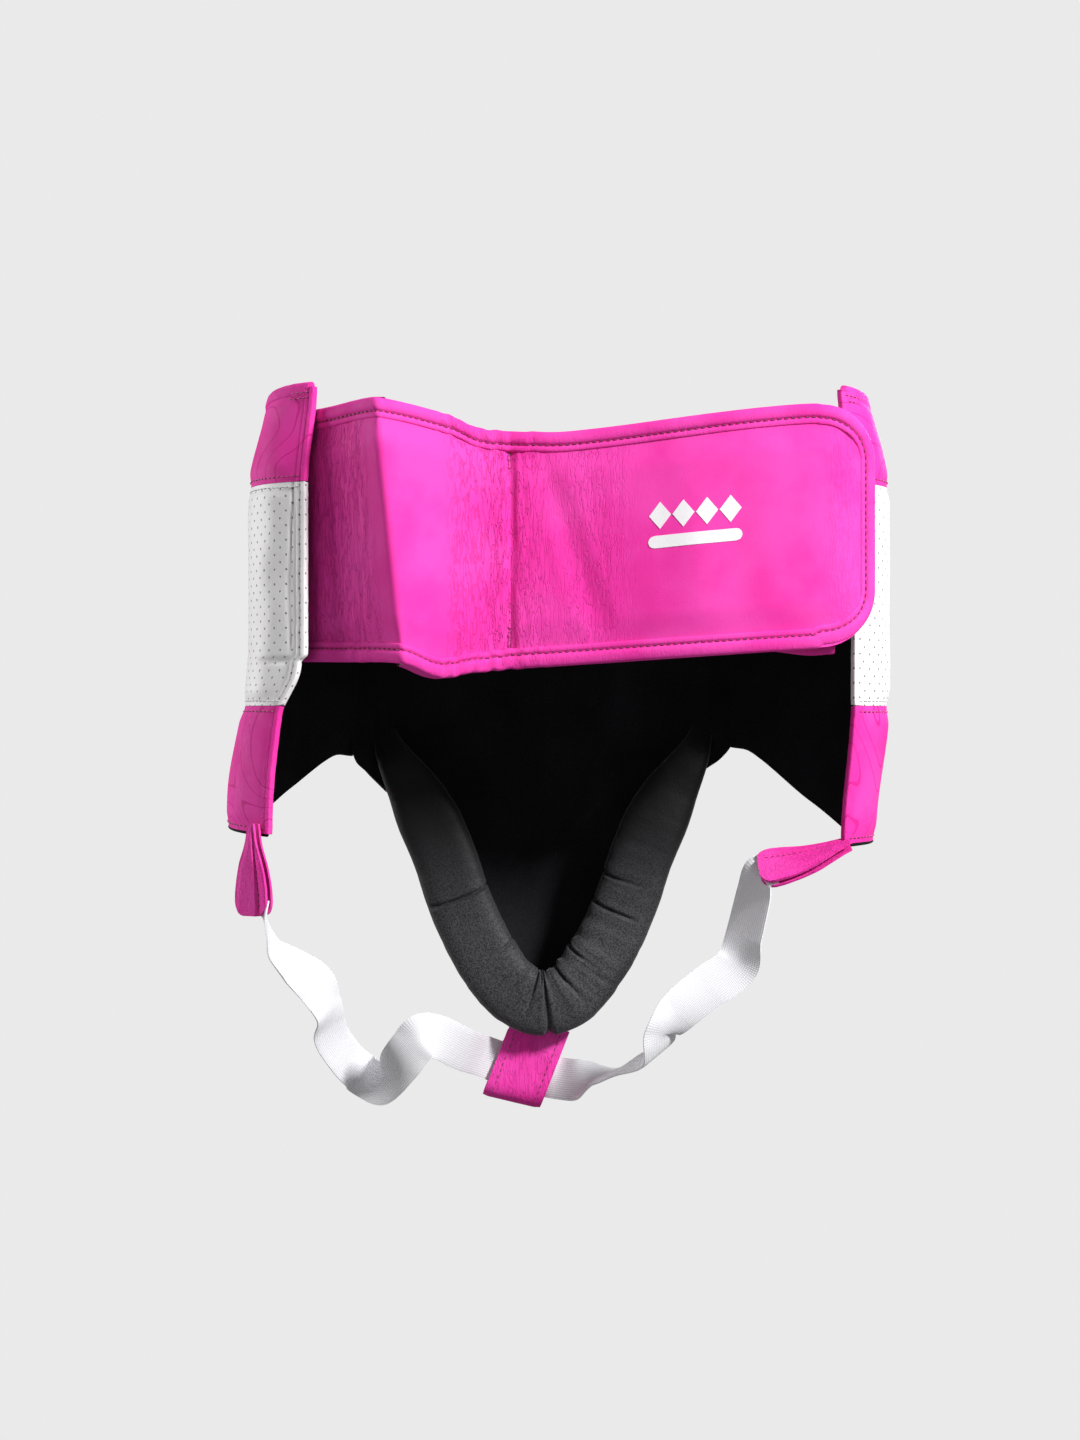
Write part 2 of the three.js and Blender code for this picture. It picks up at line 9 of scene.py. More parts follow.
import bpy
import numpy as np
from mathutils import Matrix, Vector


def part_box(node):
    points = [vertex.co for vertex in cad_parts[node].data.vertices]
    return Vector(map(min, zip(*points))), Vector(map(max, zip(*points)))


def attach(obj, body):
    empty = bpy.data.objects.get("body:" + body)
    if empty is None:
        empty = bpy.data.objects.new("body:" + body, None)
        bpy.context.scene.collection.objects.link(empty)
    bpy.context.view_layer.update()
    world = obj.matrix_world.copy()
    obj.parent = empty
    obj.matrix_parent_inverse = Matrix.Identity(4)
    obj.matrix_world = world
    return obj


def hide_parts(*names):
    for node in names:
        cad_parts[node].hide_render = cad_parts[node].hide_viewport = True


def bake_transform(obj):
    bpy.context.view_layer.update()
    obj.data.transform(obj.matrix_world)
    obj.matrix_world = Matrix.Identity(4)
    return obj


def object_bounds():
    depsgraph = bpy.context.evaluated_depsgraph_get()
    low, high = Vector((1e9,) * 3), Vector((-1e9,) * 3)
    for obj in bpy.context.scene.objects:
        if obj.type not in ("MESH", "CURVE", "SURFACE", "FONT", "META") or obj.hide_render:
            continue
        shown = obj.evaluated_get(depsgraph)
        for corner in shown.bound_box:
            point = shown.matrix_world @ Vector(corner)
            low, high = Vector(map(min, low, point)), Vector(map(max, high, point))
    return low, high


MM = 0.001

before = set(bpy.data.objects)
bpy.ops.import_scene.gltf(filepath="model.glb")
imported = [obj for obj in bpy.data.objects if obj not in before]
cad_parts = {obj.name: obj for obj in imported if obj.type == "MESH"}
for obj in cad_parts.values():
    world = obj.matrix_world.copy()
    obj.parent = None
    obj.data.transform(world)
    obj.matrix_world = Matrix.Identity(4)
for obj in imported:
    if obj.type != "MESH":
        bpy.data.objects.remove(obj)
cad_low, cad_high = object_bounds()


def box_mm(node):
    """A CAD node's lowest and highest corners in millimetres."""
    low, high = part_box(node)
    return np.array(low) / MM, np.array(high) / MM


# ---- Camera and studio ----

# In metres; the view height is what the camera sees from top to bottom at the frame's origin.
CAMERA_DISTANCE = 1.5
VIEW_HEIGHT = 0.8352
CAMERA_X = -0.0017
CAMERA_Z = -0.102
SENSOR = 36
PALE_GREY = (0.823, 0.823, 0.823, 1)


def make_camera():
    data = bpy.data.cameras.new("camera")
    data.sensor_width = SENSOR
    data.lens = SENSOR * CAMERA_DISTANCE / VIEW_HEIGHT
    camera = bpy.data.objects.new("camera", data)
    camera.location = (CAMERA_X, -CAMERA_DISTANCE, CAMERA_Z)
    camera.rotation_euler = (math.pi / 2, 0, 0)
    bpy.context.scene.collection.objects.link(camera)
    bpy.context.scene.camera = camera


def area_light(name, place, size, power):
    data = bpy.data.lights.new(name, "AREA")
    data.size = size
    data.energy = power
    light = bpy.data.objects.new(name, data)
    light.location = place
    aim = Vector((0, 0, CAMERA_Z)) - Vector(place)
    light.rotation_euler = aim.to_track_quat("-Z", "Y").to_euler()
    bpy.context.scene.collection.objects.link(light)


def make_studio():
    area_light("key_light", (1.46, -1.41, 1.17), 0.35, 88)
    area_light("left_side_light", (-2.1, 0.75, 0.3), 1.0, 33)
    area_light("front_fill_light", (1.2, 2.2, 0.9), 1.2, 40)
    world = bpy.data.worlds.new("studio")
    world.use_nodes = True
    background = world.node_tree.nodes["Background"]
    background.inputs["Color"].default_value = (1, 1, 1, 1)
    background.inputs["Strength"].default_value = 0.28
    bpy.context.scene.world = world
    bpy.context.scene.view_settings.view_transform = "Standard"
    make_backdrop()


def make_backdrop():
    """A plain pale floor inside a plain pale dome, which shows in the view and adds no light."""
    floor_drop = 0.006
    reach = 12
    material = bpy.data.materials.new("plain_pale")
    material.use_nodes = True
    tree = material.node_tree
    tree.nodes.clear()
    glow = tree.nodes.new("ShaderNodeEmission")
    glow.inputs["Color"].default_value = PALE_GREY
    output = tree.nodes.new("ShaderNodeOutputMaterial")
    tree.links.new(glow.outputs["Emission"], output.inputs["Surface"])
    level = cad_low.z - floor_drop
    bpy.ops.mesh.primitive_circle_add(vertices=96, radius=reach, fill_type="NGON", location=(0, 0, level))
    floor = bpy.context.object
    floor.name = "floor"
    bpy.ops.mesh.primitive_uv_sphere_add(segments=48, ring_count=24, radius=reach)
    dome = bpy.context.object
    dome.name = "dome"
    for piece in (floor, dome):
        piece.data.materials.append(material)
        piece.visible_diffuse = False
        piece.visible_glossy = False
        piece.visible_transmission = False
        piece.visible_shadow = False


# ---- Curves and noise ----

def smoothstep(value, low, high):
    share = np.clip((value - low) / (high - low), 0, 1)
    return share * share * (3 - 2 * share)


def lerp(a, b, share):
    return a + (b - a) * share


def through(stops, place):
    """Smooth value through a few (place, value) stops, level beyond the first and the last."""
    at, value = np.array(sorted(stops), float).T
    place = np.clip(place, at[0], at[-1])
    slope = np.gradient(value)
    slope[1:-1] = (value[2:] - value[:-2]) / (at[2:] - at[:-2])
    slope[0] = (value[1] - value[0]) / (at[1] - at[0])
    slope[-1] = (value[-1] - value[-2]) / (at[-1] - at[-2])
    i = np.clip(np.searchsorted(at, place, "right") - 1, 0, len(at) - 2)
    width = at[i + 1] - at[i]
    rise = value[i + 1] - value[i]
    share = (place - at[i]) / width
    bend = (slope[i] * width - rise) * (1 - share) - (slope[i + 1] * width - rise) * share
    return value[i] + share * rise + share * (1 - share) * bend


class Line:
    """A smooth line through points, read by its share of the stations or of its length."""

    def __init__(self, points, fine=24):
        p = np.array(points, float)
        p = np.vstack([2 * p[0] - p[1], p, 2 * p[-1] - p[-2]])
        steps = np.maximum(np.linalg.norm(np.diff(p, axis=0), axis=1), 1e-6)
        knots = np.concatenate([[0], np.cumsum(steps**0.5)])
        found = []
        for k in range(1, len(p) - 2):
            t = np.linspace(knots[k], knots[k + 1], fine, endpoint=False)[:, None]
            found.append(self.stretch(p[k - 1 : k + 3], knots[k - 1 : k + 3], t))
        self.points = np.vstack([*found, p[-2:-1]])
        reached = distances(self.points)
        self.length = reached[-1]
        self.by_length = reached / self.length
        self.by_station = np.linspace(0, 1, len(self.points))

    @staticmethod
    def stretch(p, k, t):
        a = [((k[i + 1] - t) * p[i] + (t - k[i]) * p[i + 1]) / (k[i + 1] - k[i]) for i in range(3)]
        b = [((k[i + 2] - t) * a[i] + (t - k[i]) * a[i + 1]) / (k[i + 2] - k[i]) for i in range(2)]
        return ((k[2] - t) * b[0] + (t - k[1]) * b[1]) / (k[2] - k[1])

    def at(self, share, stations=False):
        known = self.by_station if stations else self.by_length
        return np.stack([np.interp(share, known, axis) for axis in self.points.T], axis=-1)

    def heading(self, share):
        step = 0.004
        return unit(self.at(np.clip(share + step, 0, 1)) - self.at(np.clip(share - step, 0, 1)))


def unit(v):
    return v / np.maximum(np.linalg.norm(v, axis=-1, keepdims=True), 1e-9)


def distances(points):
    """How far each point of a line is from its start, along the line."""
    return np.concatenate([[0], np.cumsum(np.linalg.norm(np.diff(points, axis=0), axis=1))])


def noise(x, y, seed):
    """Smooth noise from -1 to 1 with one lump for each unit of x and y."""
    size = 97
    lattice = np.random.default_rng(seed).uniform(-1, 1, (size, size))
    i = np.floor(x).astype(int)
    j = np.floor(y).astype(int)
    fx = smoothstep(x - i, 0, 1)
    fy = smoothstep(y - j, 0, 1)
    near = lerp(lattice[i % size, j % size], lattice[(i + 1) % size, j % size], fx)
    far = lerp(lattice[i % size, (j + 1) % size], lattice[(i + 1) % size, (j + 1) % size], fx)
    return lerp(near, far, fy)


def bump(value, centre, half):
    """1 at the centre, falling smoothly to 0 at half on either side."""
    return smoothstep(-np.abs(value - centre), -half, 0)


# ---- Meshes ----

def make_object(name, points, faces, material, flat=None, smooth_angle=50, crinkle=None):
    """A closed mesh object from points in millimetres, its faces turned outwards.

    A face has four corners, or three with one of them given twice. flat holds each point's place
    on the flat sheet, and crinkle says from 0 to 1 how crinkled the material is there.
    """
    a, b, c, d = (points[faces[:, k]] for k in range(4))
    volume = np.einsum("ij,ij->", a, np.cross(b, c)) + np.einsum("ij,ij->", a, np.cross(c, d))
    if volume < 0:
        faces = faces[:, ::-1]
    mesh = bpy.data.meshes.new(name)
    mesh.from_pydata((points * MM).tolist(), [], [list(dict.fromkeys(face)) for face in faces.tolist()])
    if flat is not None:
        corner = np.zeros(len(mesh.loops), np.int32)
        mesh.loops.foreach_get("vertex_index", corner)
        layer = mesh.uv_layers.new(name="flat_mm")
        layer.data.foreach_set("uv", flat[corner].astype(np.float32).ravel())
    if crinkle is not None:
        attribute = mesh.attributes.new("crinkle", "FLOAT", "POINT")
        attribute.data.foreach_set("value", np.asarray(crinkle, np.float32).ravel())
    mesh.shade_smooth()
    mesh.set_sharp_from_angle(angle=math.radians(smooth_angle))
    piece = bpy.data.objects.new(name, mesh)
    piece.data.materials.append(material)
    bpy.context.scene.collection.objects.link(piece)
    return piece


def shell_faces(rows, columns):
    """Quads of a closed shell made of a near and a far grid, each rows x columns points."""
    layer = rows * columns
    at = np.arange(layer).reshape(rows, columns)
    near = np.stack([at[:-1, :-1], at[:-1, 1:], at[1:, 1:], at[1:, :-1]], -1).reshape(-1, 4)
    far = near[:, ::-1] + layer
    rim = np.concatenate([at[0, :-1], at[:-1, -1], at[-1, :0:-1], at[:0:-1, 0]])
    after = np.roll(rim, -1)
    sides = np.stack([after, rim, rim + layer, after + layer], -1)
    return np.vstack([near, far, sides])


class Skin:
    """A grid of points on a surface, with the direction that faces out of the object."""

    def __init__(self, surface, columns, rows, outward=1, soften=0):
        self.u, self.v = np.meshgrid(np.linspace(0, 1, columns + 1), np.linspace(0, 1, rows + 1))
        self.points = surface(self.u, self.v)
        for _ in range(soften):
            self.points[:, 1:-1] = (self.points[:, :-2] + 2 * self.points[:, 1:-1] + self.points[:, 2:]) / 4
        down = np.gradient(self.points, axis=0)
        along = np.gradient(self.points, axis=1)
        self.normals = outward * unit(np.cross(down, along))
        steps_u = np.linalg.norm(np.diff(self.points, axis=1), axis=2).mean(axis=0)
        steps_v = np.linalg.norm(np.diff(self.points, axis=0), axis=2).mean(axis=1)
        self.across = np.broadcast_to(np.concatenate([[0], np.cumsum(steps_u)]), self.u.shape)
        self.up = np.broadcast_to(np.concatenate([[0], np.cumsum(steps_v)])[:, None], self.u.shape)

    def layer(self, name, outer, inner, material, crinkle=None, smooth_angle=50):
        """A closed shell between two heights over the skin; each can be a number or a grid."""
        near = self.points + self.normals * np.asarray(outer)[..., None]
        far = self.points + self.normals * np.asarray(inner)[..., None]
        points = np.concatenate([near.reshape(-1, 3), far.reshape(-1, 3)])
        flat = np.stack([self.across, self.up], -1).reshape(-1, 2)
        if crinkle is not None:
            crinkle = np.broadcast_to(crinkle, (2, *self.u.shape))
        faces = shell_faces(*self.u.shape)
        return make_object(name, points, faces, material, np.tile(flat, (2, 1)), smooth_angle, crinkle)

    def from_ends(self):
        """Distance of each point from the nearer of the skin's lower and upper edges."""
        return np.minimum(self.up, self.up.max() - self.up)

    def from_sides(self):
        """Distance of each point from the nearer of the skin's left and right edges."""
        return np.minimum(self.across, self.across.max() - self.across)

    def spot(self, u, v, height=0):
        """Points at shares u, v of the skin, raised by height, with their outward directions."""
        rows, columns = self.u.shape
        x = np.clip(np.asarray(u, float), 0, 1) * (columns - 1)
        y = np.clip(np.asarray(v, float), 0, 1) * (rows - 1)
        i = np.minimum(x.astype(int), columns - 2)
        j = np.minimum(y.astype(int), rows - 2)
        fx = (x - i)[..., None]
        fy = (y - j)[..., None]

        def read(grid):
            low = lerp(grid[j, i], grid[j, i + 1], fx)
            high = lerp(grid[j + 1, i], grid[j + 1, i + 1], fx)
            return lerp(low, high, fy)

        out = unit(read(self.normals))
        return read(self.points) + out * np.asarray(height)[..., None], out


def tube_faces(rings, sides):
    k, i = np.meshgrid(np.arange(rings - 1), np.arange(sides), indexing="ij")
    k, i = k.ravel() * sides, i.ravel()
    turn = (i + 1) % sides
    return np.stack([k + i, k + turn, k + sides + turn, k + sides + i], -1)


def sweep(name, rows, material, smooth_angle=60, crinkle=None):
    """A solid through rings of points (rings x sides x 3), closed by a fan of quads at each end."""
    rings, sides = rows.shape[:2]
    faces = [tube_faces(rings, sides)]
    k = np.arange(1, sides // 2 - 1)
    for start, flip in ((0, 1), ((rings - 1) * sides, -1)):
        fan = start + np.stack([k, sides - k, sides - k - 1, k + 1], -1)
        first = start + np.array([[0, sides - 1, 1, 1]])
        faces += [fan[:, ::flip], first[:, ::flip]]
    along = distances(rows.mean(axis=1))
    around = np.linspace(0, distances(rows[0])[-1], sides, endpoint=False)
    flat = np.stack(np.meshgrid(along, around, indexing="ij"), -1).reshape(-1, 2)
    faces = np.vstack(faces)
    return make_object(name, rows.reshape(-1, 3), faces, material, flat, smooth_angle, crinkle)


# ---- Materials ----

class Surface:
    """One material, with short ways to add nodes to it."""

    def __init__(self, name, color, roughness, metallic=0.0, sheen=0.0, specular=0.5):
        self.material = bpy.data.materials.new(name)
        self.material.use_nodes = True
        self.tree = self.material.node_tree
        self.shader = self.tree.nodes["Principled BSDF"]
        self.height = None
        uniform = {
            "Base Color": (*color, 1),
            "Roughness": roughness,
            "Metallic": metallic,
            "Sheen Weight": sheen,
            "Specular IOR Level": specular,
        }
        for socket, value in uniform.items():
            self.shader.inputs[socket].default_value = value

    def add(self, kind, settings=None, **inputs):
        node = self.tree.nodes.new("ShaderNode" + kind)
        for key, value in (settings or {}).items():
            setattr(node, key, value)
        for key, value in inputs.items():
            self.set(node.inputs[key.replace("_", " ")], value)
        return node

    def set(self, socket, value):
        if isinstance(value, bpy.types.NodeSocket):
            self.tree.links.new(value, socket)
        else:
            socket.default_value = value

    def math(self, operation, a, b=0.0, c=0.0):
        node = self.add("Math", {"operation": operation})
        for socket, value in zip(node.inputs, (a, b, c)):
            self.set(socket, value)
        return node.outputs[0]

    def where(self, scale=(1, 1, 1), flat=False):
        """Coordinates in metres, or the flat sheet's own in millimetres, stretched by scale."""
        if flat:
            source = self.add("UVMap", {"uv_map": "flat_mm"}).outputs[0]
        else:
            source = self.add("TexCoord").outputs["Object"]
        return self.add("Mapping", Vector=source, Scale=scale).outputs[0]

    def noise(self, place, scale, detail=2.0, distortion=0.0):
        node = self.add("TexNoise", Vector=place, Scale=scale, Detail=detail, Distortion=distortion)
        return node.outputs[0]

    def mask(self, name):
        return self.add("Attribute", {"attribute_name": name}).outputs["Fac"]

    def range(self, value, low, high, new_low=0.0, new_high=1.0):
        node = self.add("MapRange", {"interpolation_type": "SMOOTHSTEP"}, Value=value)
        for key, number in zip(("From Min", "From Max", "To Min", "To Max"), (low, high, new_low, new_high)):
            node.inputs[key].default_value = number
        return node.outputs[0]

    def color(self, factor, low, high):
        mix = self.add("Mix", {"data_type": "RGBA"})
        self.set(mix.inputs[0], factor)
        self.set(mix.inputs[6], low if isinstance(low, bpy.types.NodeSocket) else (*low, 1))
        self.set(mix.inputs[7], high if isinstance(high, bpy.types.NodeSocket) else (*high, 1))
        return mix.outputs[2]

    def bump(self, height, strength, distance):
        node = self.add("Bump", Height=height, Strength=strength, Distance=distance)
        if self.height is not None:
            self.tree.links.new(self.height, node.inputs["Normal"])
        self.height = node.outputs[0]
        self.set(self.shader.inputs["Normal"], self.height)

    def base(self, color):
        self.set(self.shader.inputs["Base Color"], color)

    def roughness(self, value):
        self.set(self.shader.inputs["Roughness"], value)


PINK = (0.80, 0.038, 0.35)
PINK_LIGHT = (0.86, 0.066, 0.43)
# Deep pink for the printed lines, and for the painted shade in the leather's creases.
PINK_DEEP = (0.60, 0.014, 0.225)
# Pink thread darkened with painted shade, for the shade the stitches sit in, sunk in their channels.
SHADED_THREAD_PINK = (0.34, 0.006, 0.13)
WHITE = (0.86, 0.85, 0.86)
BLACK = (0.016, 0.0155, 0.018)


def leather_material(name, low, high, creases=1.0, printed=False):
    """Grained leather: slight change of tone, fine pores, and upright creases where it bends, darkened with
    painted shade.
    """
    n = Surface(name, low, 0.65, specular=0.05)
    place = n.where()
    upright = n.where((1, 1, 0.17))
    tone = n.range(n.noise(place, 22, 4), 0.35, 0.65)
    color = n.color(tone, low, high)
    crinkled = n.mask("crinkle")
    fold = n.math("ABSOLUTE", n.math("SUBTRACT", n.noise(upright, 520, 3, 0.3), 0.5))
    crease = n.math("MULTIPLY", n.range(fold, 0.0, 0.05, 1.0, 0.0), crinkled)
    # Painted shade: the creases are darkened towards deep pink.
    color = n.color(n.math("MULTIPLY", crease, 0.24), color, PINK_DEEP)
    if printed:
        color = n.color(printed_lines(n), color, PINK_DEEP)
    n.base(color)
    n.bump(crease, 0.75 * creases, -0.0007)
    soft_folds = n.math("MULTIPLY", n.noise(upright, 260, 3), n.math("ADD", crinkled, 0.05))
    n.bump(soft_folds, 0.7 * creases, 0.0006)
    pores = n.add("TexVoronoi", Vector=place, Scale=1150.0).outputs["Distance"]
    n.bump(pores, 0.16, 0.0003)
    n.roughness(n.range(n.noise(place, 90, 3), 0.3, 0.7, 0.56, 0.7))
    return n.material


def printed_lines(n):
    """Thin wandering lines, like the height lines of a plain map."""
    height = n.math("FRACT", n.math("MULTIPLY", n.noise(n.where(), 17, 0.0, 0.4), 11.0))
    nearness = n.math("ABSOLUTE", n.math("SUBTRACT", height, 0.5))
    return n.range(nearness, 0.02, 0.06, 0.75, 0.0)


def perforated_material():
    """White leather with staggered rows of pricked holes."""
    hole_spacing = 8.2
    n = Surface("white_perforated_leather", WHITE, 0.5, specular=0.35)
    share = 1 / hole_spacing
    flat = n.where((share, share, share), flat=True)
    nearest = None
    for shift in (0.0, 0.5):
        moved = n.add("VectorMath", {"operation": "ADD"})
        n.set(moved.inputs[0], flat)
        moved.inputs[1].default_value = (shift, shift, 0)
        cell = n.add("VectorMath", {"operation": "FRACTION"})
        n.set(cell.inputs[0], moved.outputs[0])
        gap = n.add("VectorMath", {"operation": "DISTANCE"})
        n.set(gap.inputs[0], cell.outputs[0])
        gap.inputs[1].default_value = (0.5, 0.5, 0)
        distance = gap.outputs["Value"]
        nearest = distance if nearest is None else n.math("MINIMUM", nearest, distance)
    hole = n.range(nearest, 0.055, 0.095, 1.0, 0.0)
    tone = n.range(n.noise(n.where(), 40, 3), 0.3, 0.7)
    clean = n.color(tone, (0.82, 0.80, 0.81), WHITE)
    n.base(n.color(n.math("MULTIPLY", hole, 0.85), clean, (0.10, 0.08, 0.09)))
    n.bump(hole, 0.7, -0.0006)
    n.bump(n.noise(n.where(), 420, 2), 0.25, 0.0003)
    return n.material


def lining_material():
    """Black brushed knit, with a fine weave and a soft sheen."""
    n = Surface("black_lining", BLACK, 0.9, sheen=0.03, specular=0.1)
    n.shader.inputs["Sheen Roughness"].default_value = 0.45
    n.shader.inputs["Sheen Tint"].default_value = (0.62, 0.6, 0.66, 1)
    place = n.where()
    fibres = n.noise(place, 1500, 2)
    tone = n.math("ADD", n.math("MULTIPLY", fibres, 0.6), n.math("MULTIPLY", n.noise(place, 30, 3), 0.4))
    n.base(n.color(n.range(tone, 0.35, 0.65), (0.0055, 0.0052, 0.0062), (0.013, 0.0124, 0.0145)))
    n.bump(fibres, 0.5, 0.0003)
    n.bump(n.noise(n.where((1, 1, 0.4)), 90, 3), 0.35, 0.0012)
    return n.material


def roll_material():
    """Black satin-faced cloth over the cup's rim, speckled dark grey, with painted shade taking it to as
    black as the lining towards the top, where the belt shades it.
    """
    full_shade_height = -0.158
    shade_start_height = -0.245
    n = Surface("black_satin_cloth", (0.035, 0.034, 0.037), 0.6, sheen=0.1, specular=0.2)
    n.shader.inputs["Sheen Roughness"].default_value = 0.4
    speckle = n.noise(n.where(), 1100, 3)
    speckled_cloth = n.color(n.range(speckle, 0.38, 0.62), (0.020, 0.0195, 0.0215), (0.058, 0.056, 0.061))
    height = n.add("SeparateXYZ", Vector=n.where()).outputs["Z"]
    # Painted shade: the cloth goes black above a height, for the belt's shadow on the roll's upper part.
    n.base(n.color(n.range(height, shade_start_height, full_shade_height), speckled_cloth, (0.006, 0.0056, 0.0065)))
    n.bump(speckle, 0.6, 0.0004)
    n.bump(n.noise(n.where(), 120, 3), 0.3, 0.001)
    return n.material


def elastic_material():
    """White woven elastic: ribs along its length and finer picks across it."""
    rib = 1.3
    pick = 0.9
    n = Surface("white_elastic", (0.84, 0.84, 0.87), 0.72, sheen=0.2, specular=0.25)
    flat = n.where(flat=True)
    axes = n.add("SeparateXYZ", Vector=flat)
    ribs = n.math("SINE", n.math("MULTIPLY", axes.outputs["Y"], 2 * math.pi / rib))
    picks = n.math("SINE", n.math("MULTIPLY", axes.outputs["X"], 2 * math.pi / pick))
    weave = n.math("MULTIPLY", n.math("ADD", ribs, 1.0), n.math("ADD", picks, 1.4))
    tone = n.range(weave, 0.0, 3.5)
    n.base(n.color(tone, (0.70, 0.70, 0.74), (0.88, 0.88, 0.90)))
    n.bump(weave, 0.2, 0.00025)
    n.bump(n.noise(n.where(), 60, 2), 0.15, 0.0012)
    return n.material


def thread_material(name, color):
    n = Surface(name, color, 0.55, sheen=0.3)
    twist = n.add("TexWave", Vector=n.where(), Scale=900.0, Distortion=1.0)
    n.base(n.color(twist.outputs["Fac"], tuple(0.7 * c for c in color), color))
    n.bump(twist.outputs["Fac"], 0.4, 0.0002)
    return n.material


def foam_material():
    n = Surface("grey_foam", (0.42, 0.42, 0.44), 0.9)
    cells = n.add("TexVoronoi", Vector=n.where(), Scale=1400.0).outputs["Distance"]
    n.base(n.color(cells, (0.30, 0.30, 0.32), (0.48, 0.48, 0.5)))
    n.bump(cells, 0.6, 0.0004)
    return n.material


def plastic_material():
    n = Surface("ivory_plastic", (0.78, 0.74, 0.64), 0.34, specular=0.5)
    tone = n.noise(n.where(), 35, 3)
    n.base(n.color(tone, (0.74, 0.70, 0.60), (0.82, 0.79, 0.70)))
    n.bump(n.noise(n.where(), 500, 2), 0.1, 0.0002)
    return n.material


def hook_material():
    n = Surface("white_hook_and_loop", (0.82, 0.82, 0.82), 0.9, sheen=0.6)
    pile = n.add("TexVoronoi", Vector=n.where(), Scale=1100.0).outputs["Distance"]
    n.base(n.color(pile, (0.9, 0.9, 0.9), (0.62, 0.62, 0.63)))
    n.bump(pile, 1.0, 0.0009)
    return n.material


def steel_material():
    n = Surface("press_stud_steel", (0.58, 0.58, 0.6), 0.28, metallic=1.0)
    brushed = n.noise(n.where((1, 1, 14)), 500, 2)
    n.base(n.color(brushed, (0.48, 0.48, 0.5), (0.64, 0.64, 0.66)))
    n.roughness(n.range(brushed, 0.3, 0.7, 0.22, 0.38))
    return n.material


def ink_material():
    n = Surface("white_ink", (0.86, 0.86, 0.87), 0.4)
    speckle = n.noise(n.where(), 700, 3)
    n.base(n.color(speckle, (0.80, 0.79, 0.81), (0.90, 0.90, 0.91)))
    n.bump(speckle, 0.2, 0.0002)
    return n.material


make_camera()
make_studio()

pink_leather = leather_material("pink_leather", PINK, PINK_LIGHT)
printed_leather = leather_material("pink_printed_leather", PINK, PINK_LIGHT, 0.5, printed=True)
binding_leather = leather_material("pink_binding", PINK, PINK_LIGHT, 0.6)
white_leather = perforated_material()
black_lining = lining_material()
roll_fabric = roll_material()
white_elastic = elastic_material()
# Pink thread with painted shade in its colour.
shaded_thread = thread_material("shaded_pink_thread", SHADED_THREAD_PINK)
white_thread = thread_material("white_thread", (0.72, 0.71, 0.73))
foam = foam_material()
ivory_plastic = plastic_material()
hook_pile = hook_material()
steel = steel_material()
white_ink = ink_material()


def place(piece, body, slot, node=None):
    """Sets a finished piece on one body; given a bend instead, it only bakes the piece's transform: body is
    a name or a bend.
    """
    if isinstance(body, str):
        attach(piece, body)
    else:
        first, second, start, end = body
        Vector(start) * MM
        Vector(end) * MM
        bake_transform(piece)
    if node:
        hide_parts(node)


def add_foam(skin, name, front, depth, body, node):
    place(skin.layer(name, front, front - depth, foam), body, "foam", node)


def add_lining(skin, name, front, folds, body, node):
    """Lining with its front at a height over the skin, its back thickened or thinned by folds."""
    place(skin.layer(name, front, front - LINING + folds, black_lining), body, "black_lining", node)


# ---- Stitches ----

def sew(name, points, normals, thread, body, length=2.7, pause=1.1, radius=0.36, zigzag=0.0):
    """A row of stitches along a line of points, each one a short round-ended thread."""
    along = distances(points)
    count = max(int(along[-1] // (length + pause)), 1)
    starts = (np.arange(count) + 0.5) * along[-1] / count - length / 2

    def read(grid, at):
        return np.stack([np.interp(at, along, axis) for axis in grid.T], -1)

    sides = 6
    turn = 2 * np.pi * np.arange(sides) / sides
    shares = np.array([0, 0.12, 0.5, 0.88, 1])
    widths = np.array([0.25, 0.85, 1, 0.85, 0.25])
    lifts = np.array([-0.5, 0.0, 0.25, 0.0, -0.5])
    rings = []
    for k, start in enumerate(starts):
        ends = read(points, np.array([start, start + length]))
        out = unit(read(normals, np.array([start + length / 2])))[0]
        side = unit(np.cross(ends[1] - ends[0], out))
        lean = zigzag * (1 if k % 2 else -1)
        ends[0] = ends[0] - side * lean
        ends[1] = ends[1] + side * lean
        for share, width, lift in zip(shares, widths, lifts):
            centre = lerp(ends[0], ends[1], share) + out * radius * lift
            ring = radius * width * (np.cos(turn)[:, None] * side + np.sin(turn)[:, None] * out)
            rings.append(centre + ring)
    per = len(shares) * sides
    cap = np.array([[0, 1, 2, 3], [0, 3, 4, 5]])
    one = np.vstack([tube_faces(len(shares), sides), cap[:, ::-1], cap + per - sides])
    faces = (one[None] + per * np.arange(count)[:, None, None]).reshape(-1, 4)
    place(make_object(name, np.array(rings).reshape(-1, 3), faces, thread), body, None)


# ---- Waist ring and wings ----

# The ring is a rounded box seen from above. Angles are in degrees from the front of the ring.
RING_CENTRE_Y = -5
RING_DEPTH = 80
RING_ROUNDNESS = 2.4
LEFT_REACH = 168
RIGHT_REACH = 198
SHIELD_TOP = 68
WING_TOP = 84
UPPER_BAND_LINE = 31
LOWER_BAND_LINE = -94
# Height of each wing's lower edge, at shares of the way from its front seam to its rear edge.
LEG_LINE = {
    "left": [(0, -122), (0.08, -122), (0.25, -141), (0.42, -158), (0.6, -162), (1, -166)],
    "right": [(0, -117), (0.08, -120), (0.31, -149), (0.55, -168), (1, -172)],
}
# Angle of each wing's rear edge beside the belt and below it.
REAR = {"left": (112.9, 108), "right": (104.4, 104.4)}
HEM_STEP = {"left": 1.4, "right": 0}
SEAM_ANGLE = {"left": 60.4, "right": 58.6}
LEATHER = 1.5
GAP = 0.3
WING_PAD = 5
REAR_PAD = 0.2
